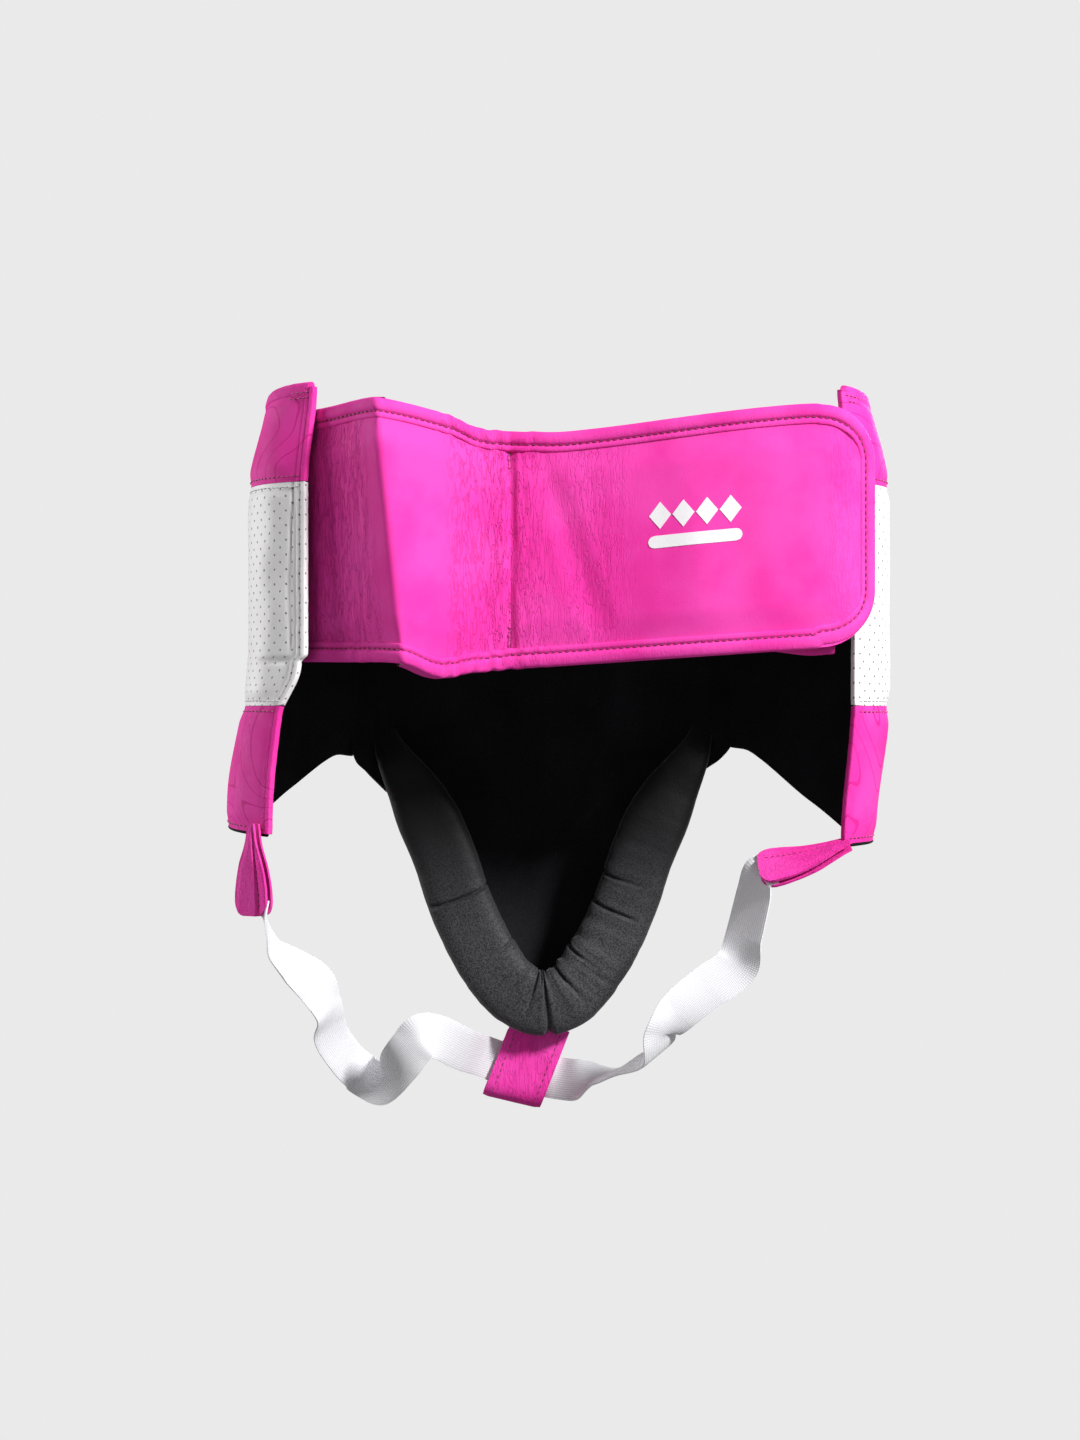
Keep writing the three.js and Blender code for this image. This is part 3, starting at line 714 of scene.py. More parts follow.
# Distance from the rear edge at which a wing's foam starts to thicken, and where it is full.
PAD_RISE = (3, 26)
BELLY_PAD = 12
CUP_PAD = 4
CUP_WALL = 3
LINING = 1
WING_DEPTH = LEATHER + WING_PAD + LINING + 2 * GAP
REAR_DEPTH = LEATHER + REAR_PAD + LINING + 2 * GAP


def side_reach(is_left, z):
    drawn_in = smoothstep(z, 30, WING_TOP)
    left = LEFT_REACH - 10 * drawn_in + 13 * smoothstep(-z, 60, 160)
    right = RIGHT_REACH - 11 * drawn_in - 8 * smoothstep(-z, 90, 170)
    return np.where(is_left, left, right)


def ring_spot(angle, z):
    """A point on the outside of the ring; the angle is from the front, negative to the left."""
    angle, z = np.broadcast_arrays(np.asarray(angle, float), np.asarray(z, float))
    turn = np.radians(angle)
    across = np.abs(np.sin(turn)) / side_reach(angle < 0, z)
    ahead = np.abs(np.cos(turn)) / RING_DEPTH
    radius = (across**RING_ROUNDNESS + ahead**RING_ROUNDNESS) ** (-1 / RING_ROUNDNESS)
    return np.stack([radius * np.sin(turn), RING_CENTRE_Y + radius * np.cos(turn), z], -1)


def ring_top(angle):
    return lerp(SHIELD_TOP, WING_TOP, smoothstep(np.abs(angle), 60, 108))


def wing_surface(side, low_band=0, high_band=3):
    """A wing's outside in three bands from its lower edge up; v covers the bands asked for."""
    is_left = side == "left"
    rear, low_rear = REAR[side]

    def surface(u, v):
        from_seam = 1 - u if is_left else u
        floor = through(LEG_LINE[side], from_seam)
        ceiling = ring_top(lerp(SEAM_ANGLE[side], rear, from_seam))
        lines = np.stack(np.broadcast_arrays(floor, LOWER_BAND_LINE, UPPER_BAND_LINE, ceiling))
        level = lerp(low_band, high_band, v)
        band = np.minimum(level.astype(int), 2)
        below = np.take_along_axis(lines, band[None], 0)[0]
        above = np.take_along_axis(lines, band[None] + 1, 0)[0]
        z = lerp(below, above, level - band)
        stepped = rear - HEM_STEP[side] * smoothstep(-z, 66, 69)
        rear_angle = lerp(stepped, low_rear, smoothstep(-z, 72, 100))
        angle = lerp(SEAM_ANGLE[side], rear_angle, from_seam)
        return ring_spot(-angle if is_left else angle, z)

    return surface


def from_rear(side, skin):
    """Distance of each point of a wing from its rear edge."""
    return skin.across if side == "left" else skin.across.max() - skin.across


def band_relief(side, band, skin):
    """Leather over foam: pulled in at the seams above and below, with a few soft dents."""
    edge = skin.from_ends()
    rear = from_rear(side, skin)
    padded = smoothstep(rear, 4, 26) * smoothstep(rear.max() - rear, 0, 9)
    crown = 1.5 * smoothstep(edge, 0, 9) * padded
    dents = 0.6 * noise(skin.across / 17, skin.up / 26, 10 + band) * smoothstep(edge, 0, 12)
    relief = crown + dents * lerp(0.35, 1, padded)
    if band == 1:
        dart = 7 + 3 * np.sin(np.pi * skin.v) * (1 if side == "left" else 0.4)
        relief = relief - 0.9 * bump(rear, dart, 1.5) * smoothstep(skin.v, 0.22, 0.3)
        relief = relief - 0.8 * bump(skin.v, 0.2, 0.02) * (1 - smoothstep(rear, 20, 40))
    return relief


def make_wing(side):
    for band, (label, material, slot) in enumerate(
        [
            ("lower", printed_leather, "pink_leather"),
            ("perforated", white_leather, "white_leather"),
            ("top", printed_leather, "pink_leather"),
        ]
    ):
        skin = Skin(wing_surface(side, band + 0.001, band + 0.999), 110, 90)
        relief = band_relief(side, band, skin)
        crinkle = 0.7 * smoothstep(noise(skin.across / 30, skin.up / 40, 20 + band), 0.2, 0.8)
        cover = skin.layer(f"{side}_wing_{label}_cover", relief, -LEATHER, material, crinkle)
        place(cover, "root", slot, f"{side}_wing_{label}_leather")
        for end, v in (("low", 0.0), ("high", 1.0)):
            inset = 2.6 / skin.up.max()
            u = np.linspace(0.01, 0.99, 300)
            spots, out = skin.spot(u, np.full_like(u, abs(v - inset)), 0.45)
            thread = white_thread if label == "perforated" else shaded_thread
            sew(f"{side}_wing_{label}_{end}_stitches", spots, out, thread, "root")
    whole = Skin(wing_surface(side), 60, 120)
    pad_front = -LEATHER - GAP
    pad = lerp(REAR_PAD, WING_PAD, smoothstep(from_rear(side, whole), *PAD_RISE))
    add_foam(whole, f"{side}_wing_padding", pad_front, pad, "root", f"{side}_wing_foam")
    folds = 0.5 * noise(whole.across / 12, whole.up / 45, 31)
    folds = folds + 0.3 * noise(whole.across / 5, whole.up / 30, 32) + wing_lining_seams(side, whole)
    back = pad_front - pad - GAP
    add_lining(whole, f"{side}_wing_backing", back, folds - 0.4, "root", f"{side}_wing_lining")
    make_rear_hems(side, whole)
    make_leg_edge(side, whole)


def wing_lining_seams(side, skin):
    """A sewn seam that curves down the lining to the leg opening, and a short dart beside it."""
    drop = 1 - skin.v
    seam = from_rear(side, skin).max() * lerp(0.34, 0.1, smoothstep(drop, 0.55, 1))
    dart = from_rear(side, skin).max() * 0.62
    pulled = bump(from_rear(side, skin), seam, 1.6) + 0.7 * bump(from_rear(side, skin), dart, 1.4)
    return 1.3 * pulled * smoothstep(drop, 0.4, 0.5)


def edge_profile(width, depth, bulge, overhang, inner_width):
    """Half-round binding round an edge, as (into the panel, outwards) points of a closed ring."""
    return np.array(
        [
            (width, -0.9),
            (width + 0.1, 0.35),
            (width - 0.5, 0.75 * bulge),
            (width - 2.4, 0.8 * bulge),
            (width - 3.4, 0.15),
            (width - 4.3, 0.95 * bulge),
            (width * 0.4, 1.45 * bulge),
            (width * 0.12, 1.1 * bulge),
            (-0.7 * overhang, 0.1 * bulge),
            (-overhang, -0.3 * depth),
            (-overhang, -0.7 * depth),
            (-0.7 * overhang, -depth - 0.1 * bulge),
            (inner_width * 0.15, -depth - 0.9 * bulge),
            (inner_width * 0.55, -depth - bulge),
            (inner_width, -depth - 0.5),
            (inner_width, -depth + 0.7),
            (0.25 * inner_width, -depth + 0.8),
            (0.8, -0.7 * depth),
            (0.8, -0.3 * depth),
            (0.25 * width, -0.8),
        ]
    )


def smooth_ring(profile, count):
    """The closed ring again with more points, rounded."""
    size = len(profile)
    at = np.linspace(0, size, count, endpoint=False)
    i = at.astype(int)
    t = (at - i)[:, None]
    p0, p1, p2, p3 = (profile[(i + k) % size] for k in (-1, 0, 1, 2))
    square = 2 * p0 - 5 * p1 + 4 * p2 - p3
    cube = 3 * p1 - p0 - 3 * p2 + p3
    return 0.5 * (2 * p1 + (p2 - p0) * t + square * t**2 + cube * t**3)


def binding(name, edge, into, outward, profile, material, pucker, seed, turns=44, thinning=1.0):
    """A binding swept along an edge; pucker (0 to 1 along it) gathers it, thinning takes off depth."""
    ring = smooth_ring(profile, turns)
    depth = np.broadcast_to(thinning, len(edge))[:, None, None]
    along = distances(edge)
    gather = noise(along / 4.2, np.zeros_like(along), seed) * pucker
    slow = noise(along / 19, np.zeros_like(along), seed + 1)
    swell = 1 + 0.34 * gather + 0.1 * slow
    out_share = np.where(ring[:, 1] > 0, ring[:, 1], 0)[None, :, None] * (swell[:, None, None] - 1)
    sections = (
        edge[:, None]
        + into[:, None] * (ring[:, 0][None, :, None] + 0.35 * gather[:, None, None])
        + outward[:, None] * (depth * ring[:, 1][None, :, None] + out_share)
    )
    return sweep(name, sections, material, crinkle=np.repeat(0.25 + 0.75 * pucker, turns))


def rail(skin, u, v, toward):
    """An edge line of a skin with its directions: into the panel and outwards."""
    edge, out = skin.spot(u, v)
    inner, _ = skin.spot(u, v + toward * 0.03)
    into = unit(inner - edge)
    return edge, into, out


def make_rear_hems(side, skin):
    """The thin turned hem at a wing's rear, in one piece for each band of leather."""
    profile = edge_profile(5, REAR_DEPTH, 0.45, 0.8, 4.5)
    hems = [("lower", printed_leather), ("middle", white_leather), ("top", printed_leather)]
    for band, (label, material) in enumerate(hems):
        along = np.linspace(band + 0.004, band + 0.996, 110) / 3
        rear_u = np.zeros_like(along) if side == "left" else np.ones_like(along)
        edge, out = skin.spot(rear_u, along)
        inner, _ = skin.spot(np.abs(rear_u - 0.03), along)
        pucker = 0.2 + 0.4 * smoothstep(noise(along * 9, along * 0, 41), 0, 0.6)
        into = unit(inner - edge)
        hem = binding(f"{side}_wing_rear_hem_{label}", edge, into, out, profile, material, pucker, 42)
        slot = "white_leather" if label == "middle" else "pink_binding"
        place(hem, "root", slot, f"{side}_wing_rear_binding")


def make_leg_edge(side, skin):
    """The rounded black edge of a leg opening, thinner where the wing is."""
    inset = 0.012
    edge_radius = 1.6
    along = np.linspace(inset, 1, 260) if side == "left" else np.linspace(0, 1 - inset, 260)
    edge, into, out = rail(skin, along, np.zeros_like(along), 1)
    turn = np.linspace(0, 2 * np.pi, 16, endpoint=False)
    half_depth = WING_DEPTH / 2
    profile = np.stack([edge_radius * np.cos(turn), -half_depth - (half_depth + 0.3) * np.sin(turn)], -1)
    rear_distance = (along if side == "left" else 1 - along) * skin.across.max()
    thinning = lerp(REAR_DEPTH / WING_DEPTH, 1, smoothstep(rear_distance, *PAD_RISE))
    smooth = 0 * along
    leg = binding(f"{side}_leg_edge", edge, into, out, profile, black_lining, smooth, 43, thinning=thinning)
    place(leg, "root", "black_lining", f"{side}_leg_binding")


def make_top_binding():
    angle = np.linspace(-REAR["left"][0] + 1, REAR["right"][0] - 1, 520)
    edge = ring_spot(angle, ring_top(angle))
    centre = np.stack([0 * angle, RING_CENTRE_Y + 0 * angle, ring_top(angle)], -1)
    out = unit(edge - centre)
    into = np.broadcast_to([0.0, 0.0, -1.0], edge.shape)
    profile = edge_profile(9, WING_DEPTH, 1.1, 2.6, 3)
    from_end = np.minimum(angle - angle[0], angle[-1] - angle)
    thinning = lerp(REAR_DEPTH / WING_DEPTH, 1, smoothstep(from_end, 1, 12))
    pucker = 0.3 + 0 * angle
    top = binding(
        "top_edge_binding", edge, into, out, profile, binding_leather, pucker, 44, thinning=thinning
    )
    place(top, "root", "pink_leather", "top_binding")
    spots = edge + into * 6.2 + out * 0.9
    sew("top_edge_stitches", spots, out, shaded_thread, "root")


# ---- Shield: belly panel and cup ----

SPINE = Line(
    [
        (0, 75, SHIELD_TOP),
        (0, 76, 0),
        (0, 79, -70),
        (0, 88, -130),
        (0, 92, -190),
        (0, 86, -236),
        (0, 74, -265),
        (0, 57, -283),
    ]
)
# Where the belly ends and the cup begins, as a share of the spine's length.
SPINE_CUP_TOP = 0.475
# Half width of the shield at heights z.
SHIELD_OUTLINE = [
    (-110, 111.5),
    (-118, 110.5),
    (-122, 108.5),
    (-126, 105.7),
    (-132, 99.5),
    (-141, 93),
    (-162, 83),
    (-203, 68),
    (-244, 49),
    (-268, 33),
    (-283, 18),
]
CUP_DISHING = 26
BELLY_SHARE = 1.05
LEFT_PULL = 4.5
BELLY_CHANNELS = (0.3, 0.7)


def shield_half_width(z):
    return through(SHIELD_OUTLINE, z)


def shield_spot(x, along):
    spot = SPINE.at(along)
    down = SPINE.heading(along)
    forward = np.stack([0 * x, -down[..., 2], down[..., 1]], -1)
    z = spot[..., 2]
    share = np.minimum(np.abs(x) / side_reach(x < 0, z), 0.999)
    wrap = RING_DEPTH * (1 - (1 - share**RING_ROUNDNESS) ** (1 / RING_ROUNDNESS))
    dishing = CUP_DISHING * smoothstep(-z, 100, 190) * (1 - 0.7 * smoothstep(-z, 230, 275))
    dish = dishing * (np.abs(x) / shield_half_width(z)) ** 2.4
    spot = spot - forward * (wrap + dish)[..., None]
    spot[..., 0] = x
    from_ring = RING_CENTRE_Y + RING_DEPTH - SPINE.at(along)[..., 1]
    spot[..., 1] += from_ring * smoothstep(np.abs(x), 70, 112) * smoothstep(z, -150, -118)
    return spot


def shield_part(low_along, high_along, share=1.0):
    def surface(u, v):
        along = lerp(low_along, high_along, v)
        z = SPINE.at(along)[..., 2]
        half = share * shield_half_width(z)
        pulled_left = LEFT_PULL * bump(z, -134, 24)
        return shield_spot(lerp(-half, half, u) - pulled_left, along)

    return surface


def make_belly():
    skin = Skin(shield_part(SPINE_CUP_TOP - 0.001, 0.0, BELLY_SHARE), 220, 170)
    edge = skin.from_ends()
    side = skin.from_sides()
    crown = 3.2 * smoothstep(edge, 0, 22) * smoothstep(side, 0, 18)
    channel = sum(2.4 * bump(skin.u, belly_channel(share, skin.v), 0.022) for share in BELLY_CHANNELS)
    relief = crown - channel + 0.5 * noise(skin.across / 24, skin.up / 30, 51)
    crinkle = 0.6 * smoothstep(noise(skin.across / 35, skin.up / 45, 52), 0.2, 0.8)
    cover = skin.layer("belly_cover", relief, -LEATHER, printed_leather, crinkle)
    place(cover, "root", "pink_leather", "belly_leather")
    pad_front = -LEATHER - GAP
    pad = lerp(WING_PAD, BELLY_PAD, smoothstep(side, 1, 16))
    add_foam(skin, "belly_padding", pad_front, pad, "root", "belly_foam")
    make_belly_lining()
    v = np.linspace(0.02, 0.98, 260)
    for label, share in zip(("left", "right"), BELLY_CHANNELS):
        spots, out = skin.spot(belly_channel(share, v), v, 0.6)
        sew(f"belly_{label}_channel_stitches", spots, out, shaded_thread, "root")


def belly_channel(share, v):
    """Where a channel runs, as a share of the belly's width; the two spread a little downwards."""
    return share + 0.06 * (share - 0.5) * (1 - 2 * v)


def make_belly_lining():
    """The lining runs down past the cup's seam, so that the leg openings have one smooth edge."""
    skin = Skin(shield_part(SPINE_CUP_TOP + 0.115, 0.0, BELLY_SHARE), 220, 200)
    side = skin.from_sides()
    z = skin.points[..., 2]
    middle_pad = lerp(CUP_PAD + CUP_WALL + 0.2, BELLY_PAD, smoothstep(z, -142, -104))
    pad = lerp(WING_PAD, middle_pad, smoothstep(side, 1, 16))
    front = -LEATHER - 2 * GAP - pad
    add_lining(skin, "belly_backing", front, belly_folds(skin) - 0.6, "root", "belly_lining")


def belly_folds(skin):
    """Soft upright folds in the lining, and a short dart down to each leg opening."""
    soft = 0.6 * noise(skin.across / 16, skin.up / 60, 53) + 0.3 * noise(skin.across / 6, skin.up / 40, 54)
    darts = 0
    for share in (0.045, 0.955):
        darts = darts + 2.2 * bump(skin.u, share, 0.012) * smoothstep(skin.v, 0.35, 0.0)
    return soft + darts


def make_cup():
    skin = Skin(shield_part(1.0, SPINE_CUP_TOP + 0.001), 190, 190)
    edge = skin.from_ends()
    side = skin.from_sides() * shield_taper(skin)
    crown = 3.0 * smoothstep(edge, 0, 14) * smoothstep(side, 0, 12)
    relief = crown - 1.8 * bump(skin.u, 0.5, 0.02) * smoothstep(edge, 0, 8)
    relief = relief + 0.45 * noise(skin.across / 20, skin.up / 24, 61)
    crinkle = 0.5 * smoothstep(noise(skin.across / 30, skin.up / 30, 62), 0.2, 0.8)
    cover = skin.layer("cup_cover", relief, -LEATHER, printed_leather, crinkle)
    place(cover, "root", "pink_leather", "cup_leather")
    v = np.linspace(0.02, 0.98, 300)
    for label, u in (("left", 0.493), ("right", 0.507)):
        spots, out = skin.spot(np.full_like(v, u), v, 0.55)
        sew(f"cup_{label}_seam_stitches", spots, out, shaded_thread, "root")

    inner = Skin(inner_cup, 150, 150)
    pad_front = -LEATHER - GAP
    add_foam(inner, "cup_padding", pad_front, CUP_PAD, "root", "cup_foam")
    front = pad_front - CUP_PAD - CUP_WALL - 2 * GAP - 0.2
    folds = 0.5 * noise(inner.across / 14, inner.up / 30, 63)
    add_lining(inner, "cup_backing", front, folds - 0.5, "root", "cup_lining")


def shield_taper(skin):
    """How wide each row of the cup is, as a share of its mean width."""
    width = np.linalg.norm(np.diff(skin.points, axis=1), axis=2).sum(axis=1)
    return (width / width.mean())[:, None]


def inner_cup(u, v):
    cup = shield_part(1.0, SPINE_CUP_TOP + 0.001)
    columns = 14
    rows = 10
    return cup(lerp(1 / columns, 1 - 1 / columns, u), lerp(1 / rows, 1, v))


# ---- Rim roll round the cup on the wearer's side ----

# Centre line of the roll's right half, down to where it turns under the cup.
ROLL_SIDE = [
    (99, 68, -100),
    (90, 46, -122),
    (76, 46, -146),
    (60, 46, -180),
    (49, 44, -212),
    (33, 40, -244),
    (15, 36, -265),
]
ROLL_BOTTOM = (0, 35, -270)
ROLL_HALF_WIDTH = 19
ROLL_HALF_DEPTH = 12


def make_rim_roll():
    left = [(-x, y, z) for x, y, z in ROLL_SIDE]
    path = Line([*left, ROLL_BOTTOM, *ROLL_SIDE[::-1]])
    rings = 560
    sides = 56
    along = np.linspace(0, 1, rings)
    centre = path.at(along)
    tangent = path.heading(along)
    back = np.broadcast_to([0.0, -1.0, 0.0], tangent.shape)
    in_plane = unit(np.cross(tangent, back))
    taper = lerp(0.3, 1, smoothstep(np.minimum(along, 1 - along), 0, 0.2))
    turn = np.linspace(0, 2 * np.pi, sides, endpoint=False)
    gathers = roll_gathers(along, turn, path.length)
    across = np.sign(np.cos(turn)) * np.abs(np.cos(turn)) ** 0.5
    ahead = np.sign(np.sin(turn)) * np.abs(np.sin(turn)) ** 0.66
    width = taper[:, None] * (ROLL_HALF_WIDTH + gathers) * across
    depth = taper[:, None] * (ROLL_HALF_DEPTH + gathers) * ahead
    sections = centre[:, None] + in_plane[:, None] * width[..., None] + back[:, None] * depth[..., None]
    roll = sweep("cup_rim_roll_cover", sections, roll_fabric, smooth_angle=80)
    place(roll, "root", "black_lining", "cup_rim_roll")


def roll_gathers(along, turn, length):
    """Soft folds, and sharp creases where the sewn cloth is gathered: (along, depth, reach across)."""
    creases = [
        (0.296, 2.4, 0.0),
        (0.39, 1.6, 0.45),
        (0.475, 2.2, 0.35),
        (0.49, 1.6, 0.6),
        (0.556, 2.8, 0.4),
        (0.599, 2.6, 0.45),
        (0.68, 2.4, 0.3),
        (0.726, 2.0, 0.4),
    ]
    distance = along[:, None] * length
    inner_side = 0.5 - 0.5 * np.cos(turn)[None]
    bend = bump(along, 0.5, 0.22)[:, None]
    wander = 3 * np.sin(turn)[None] + 2 * np.cos(2 * turn)[None]
    folds = noise((distance + wander) / 6.5, turn[None] / 2.2 + 0 * distance, 71)
    fine = noise((distance - wander) / 3.1, turn[None] / 1.4 + 0 * distance, 72)
    seam = -2.6 * bump(along, 0.505, 0.005)[:, None]
    pinch = 0
    for middle, depth, reach in creases:
        slanted = along[:, None] + 0.006 * np.sin(turn)[None] * (1 if middle > 0.5 else -1)
        pinch = pinch - depth * bump(slanted, middle, 0.0042) * smoothstep(inner_side, reach, reach + 0.3)
    return (1.0 * folds + 0.4 * fine) * (0.25 + bend) * (0.35 + 0.65 * inner_side) + seam + pinch


# ---- Belt ----

# Places along the belt are (x, y) from above, its edges are (x, z).
BELT_START = (-136, -41)
BELT_HINGE = (-121, -58)
RIDGE = {"top_x": -91, "bottom_x": -76, "y": -96}
RIDGE_SHARE = 0.45
SEAM = (-18, -58)
FLAP_CORNER = 30
# Over 1, the columns of the flap's grid stand closer together towards its rounded end.
FLAP_CROWDING = 1.5
BASE_TOP = [(-136, 71.5), (-121, 71.5), (-91, 73), (-51, 66), (-36, 60), (-18, 58.5)]
BASE_BOTTOM = [(-136, -68.5), (-121, -69), (-76, -71), (-57, -78), (-36, -75), (-18, -73)]
FLAP_PLAN = [(-18, -58), (30, -65), (90, -77), (140, -79), (168, -74), (184, -63)]
FLAP_TOP = [(-18, 58.5), (15, 58), (140, 71), (184, 71)]
FLAP_BOTTOM = [(-18, -73), (184, -60)]
FLAP_END = box_mm("belt_flap_leather")[1][0]
BELT_PAD = 5.3
FLAP_PAD = 4
BASE_DEPTH = LEATHER + BELT_PAD + LINING + 2 * GAP
FLAP_DEPTH = LEATHER + FLAP_PAD + LINING + 2 * GAP
BASE_BEND_START = (BELT_HINGE[0] - 4, BELT_HINGE[1], 0)
BASE_BEND_END = (BELT_HINGE[0] + 10, BELT_HINGE[1], 0)
BASE_BEND = ("root", "belt_base", BASE_BEND_START, BASE_BEND_END)
FLAP_BEND = ("belt_base", "belt_flap", (*SEAM, 0), (SEAM[0] + 12, SEAM[1], 0))
BINDING_WIDTH = 10.4
# The binding's stitches run this far inside its inner edge, and this high over the surface.
STITCH_INSET = 3.4
STITCH_LIFT = 0.85


def base_spot(u, v):
    ridge_x = lerp(RIDGE["bottom_x"], RIDGE["top_x"], v)
    before = u / RIDGE_SHARE
    after = (u - RIDGE_SHARE) / (1 - RIDGE_SHARE)
    curve_y = through([(0, RIDGE["y"]), (0.5, -72), (0.78, -61), (1, SEAM[1])], after)
    is_before = u < RIDGE_SHARE
    x = np.where(is_before, lerp(BELT_START[0], ridge_x, before), lerp(ridge_x, SEAM[0], after))
    y = np.where(is_before, lerp(BELT_START[1], RIDGE["y"], before), curve_y)
    z = lerp(through(BASE_BOTTOM, x), through(BASE_TOP, x), v)
    return np.stack([x, y, z], -1)


def corner_tuck(x):
    into = np.clip(x - (FLAP_END - FLAP_CORNER), 0, FLAP_CORNER)
    return FLAP_CORNER - np.sqrt(FLAP_CORNER**2 - into**2)


def flap_spot(u, v):
    x = lerp(FLAP_END, SEAM[0], (1 - u) ** FLAP_CROWDING)
    bottom = through(FLAP_BOTTOM, x) + corner_tuck(x)
    top = through(FLAP_TOP, x) - corner_tuck(x)
    return np.stack([x, through(FLAP_PLAN, x), lerp(bottom, top, v)], -1)


def belt_relief(points, edge):
    """Height of the belt's leather over its base surface, and how crinkled it is."""
    x, z = points[..., 0], points[..., 2]
    crown = 2.0 * smoothstep(edge, BINDING_WIDTH - 2, BINDING_WIDTH + 16)
    at_end = 0.55 * smoothstep(-x, 92, 112)
    at_bend = smoothstep(x, -58, -46) * (1 - smoothstep(x, -20, 18)) * lerp(0.75, 1, smoothstep(x, -40, -20))
    at_fold = 0.5 * smoothstep(x, 6, 20) * (1 - smoothstep(x, 24, 60))
    at_tip = 0.3 * smoothstep(x, FLAP_END - 34, FLAP_END - 22)
    shaded = 0.75 * (1 - smoothstep(x, -97 - 0.1 * z, -88 - 0.1 * z))
    crinkle = np.clip(at_end + at_bend + at_fold + at_tip + shaded, 0.02, 1)
    lean = x + 0.06 * z
    folds = 0.3 * noise(lean / 3.1, z / 21, 81) + 0.2 * noise(lean / 1.7, z / 11, 82)
    broad = 0.7 * noise(lean / 21, z / 70, 83)
    fold_line = 17 - 0.34 * (z + 8)
    valley = -1.5 * bump(x, fold_line, 13) * smoothstep(edge, 8, 30)
    seam_pull = -1.7 * bump(x, SEAM[0], 5)
    relief = crown + crinkle * folds + broad * smoothstep(edge, 6, 26) + valley + seam_pull
    return relief, crinkle


def row_edges(points, bottom, top):
    z = points[..., 2]
    x = points[..., 0]
    return np.minimum(z - through(bottom, x), through(top, x) - z)


def belt_layers(name, skin, edge, pad, body):
    relief, crinkle = belt_relief(skin.points, edge)
    cover = skin.layer(f"{name}_cover", relief, -LEATHER, pink_leather, crinkle)
    place(cover, body, "pink_leather", f"{name}_leather")
    front = -LEATHER - GAP
    add_foam(skin, f"{name}_padding", front, pad, body, f"{name}_foam")
    folds = 0.5 * noise(skin.across / 14, skin.up / 40, 84)
    back = front - pad - GAP
    add_lining(skin, f"{name}_backing", back, folds - 0.4, body, f"{name}_lining")


def make_belt_base():
    skin = Skin(base_spot, 190, 170, outward=-1, soften=6)
    edge = row_edges(skin.points, BASE_BOTTOM, BASE_TOP)
    belt_layers("belt_base", skin, edge, BELT_PAD, BASE_BEND)
    along = np.linspace(0, 1, 300)
    profile = edge_profile(BINDING_WIDTH, BASE_DEPTH, 1.25, 0.7, 8)
    for label, v, toward in (("top", 1.0, -1), ("bottom", 0.0, 1)):
        rim, into, out = rail(skin, along, np.full_like(along, v), toward)
        x = rim[:, 0]
        at_bend = smoothstep(x, -66, -48) if label == "top" else smoothstep(x, -66, -50)
        at_end = 0.9 * bump(x, -100, 14) if label == "bottom" else 0.15 * bump(x, -104, 12)
        pucker = np.clip(at_bend + at_end, 0.08, 1)
        strip = binding(f"belt_base_{label}_edge", rim, into, out, profile, binding_leather, pucker, 91)
        place(strip, BASE_BEND, "pink_binding", f"belt_base_{label}_binding")
        spots = rim + into * (BINDING_WIDTH - STITCH_INSET) + out * STITCH_LIFT
        sew(f"belt_base_{label}_stitches", spots, out, shaded_thread, BASE_BEND)
    seam_height = np.linspace(0.09, 0.91, 200)
    spots, out = skin.spot(np.full_like(seam_height, 0.992), seam_height, 0.1)
    sew("belt_seam_stitches", spots, out, shaded_thread, BASE_BEND, 1.9, 0.4, 0.34, zigzag=0.8)


def flap_edge_distance(points):
    """Distance of each point from the flap's rounded outline."""
    ends = FLAP_END - points[..., 0]
    rows = row_edges(points, FLAP_BOTTOM, FLAP_TOP)
    corner = FLAP_CORNER - np.hypot(np.maximum(FLAP_CORNER - ends, 0), np.maximum(FLAP_CORNER - rows, 0))
    in_corner = (ends < FLAP_CORNER) & (rows < FLAP_CORNER)
    return np.where(in_corner, corner, np.minimum(ends, rows))


def flap_outline(count):
    """The flap's rim from the seam along the top, round the end and back, evenly spaced."""
    corner_x = FLAP_END - FLAP_CORNER
    top_z = through(FLAP_TOP, FLAP_END) - FLAP_CORNER
    bottom_z = through(FLAP_BOTTOM, FLAP_END) + FLAP_CORNER
    x = np.linspace(SEAM[0], corner_x, 60)
    quarter = np.linspace(0, np.pi / 2, 30)
    sine = FLAP_CORNER * np.sin(quarter)
    cosine = FLAP_CORNER * np.cos(quarter)
    top = np.stack([x, through(FLAP_TOP, x)], -1)
    upper = np.stack([corner_x + sine, top_z + cosine], -1)
    lower = np.stack([corner_x + cosine, bottom_z - sine], -1)
    bottom = np.stack([x, through(FLAP_BOTTOM, x)], -1)[::-1]
    flat = np.vstack([top[:-1], upper, lower, bottom[1:]])
    reached = distances(flat)
    at = np.linspace(0, reached[-1], count)
    x, z = (np.interp(at, reached, axis) for axis in flat.T)
    return x, z


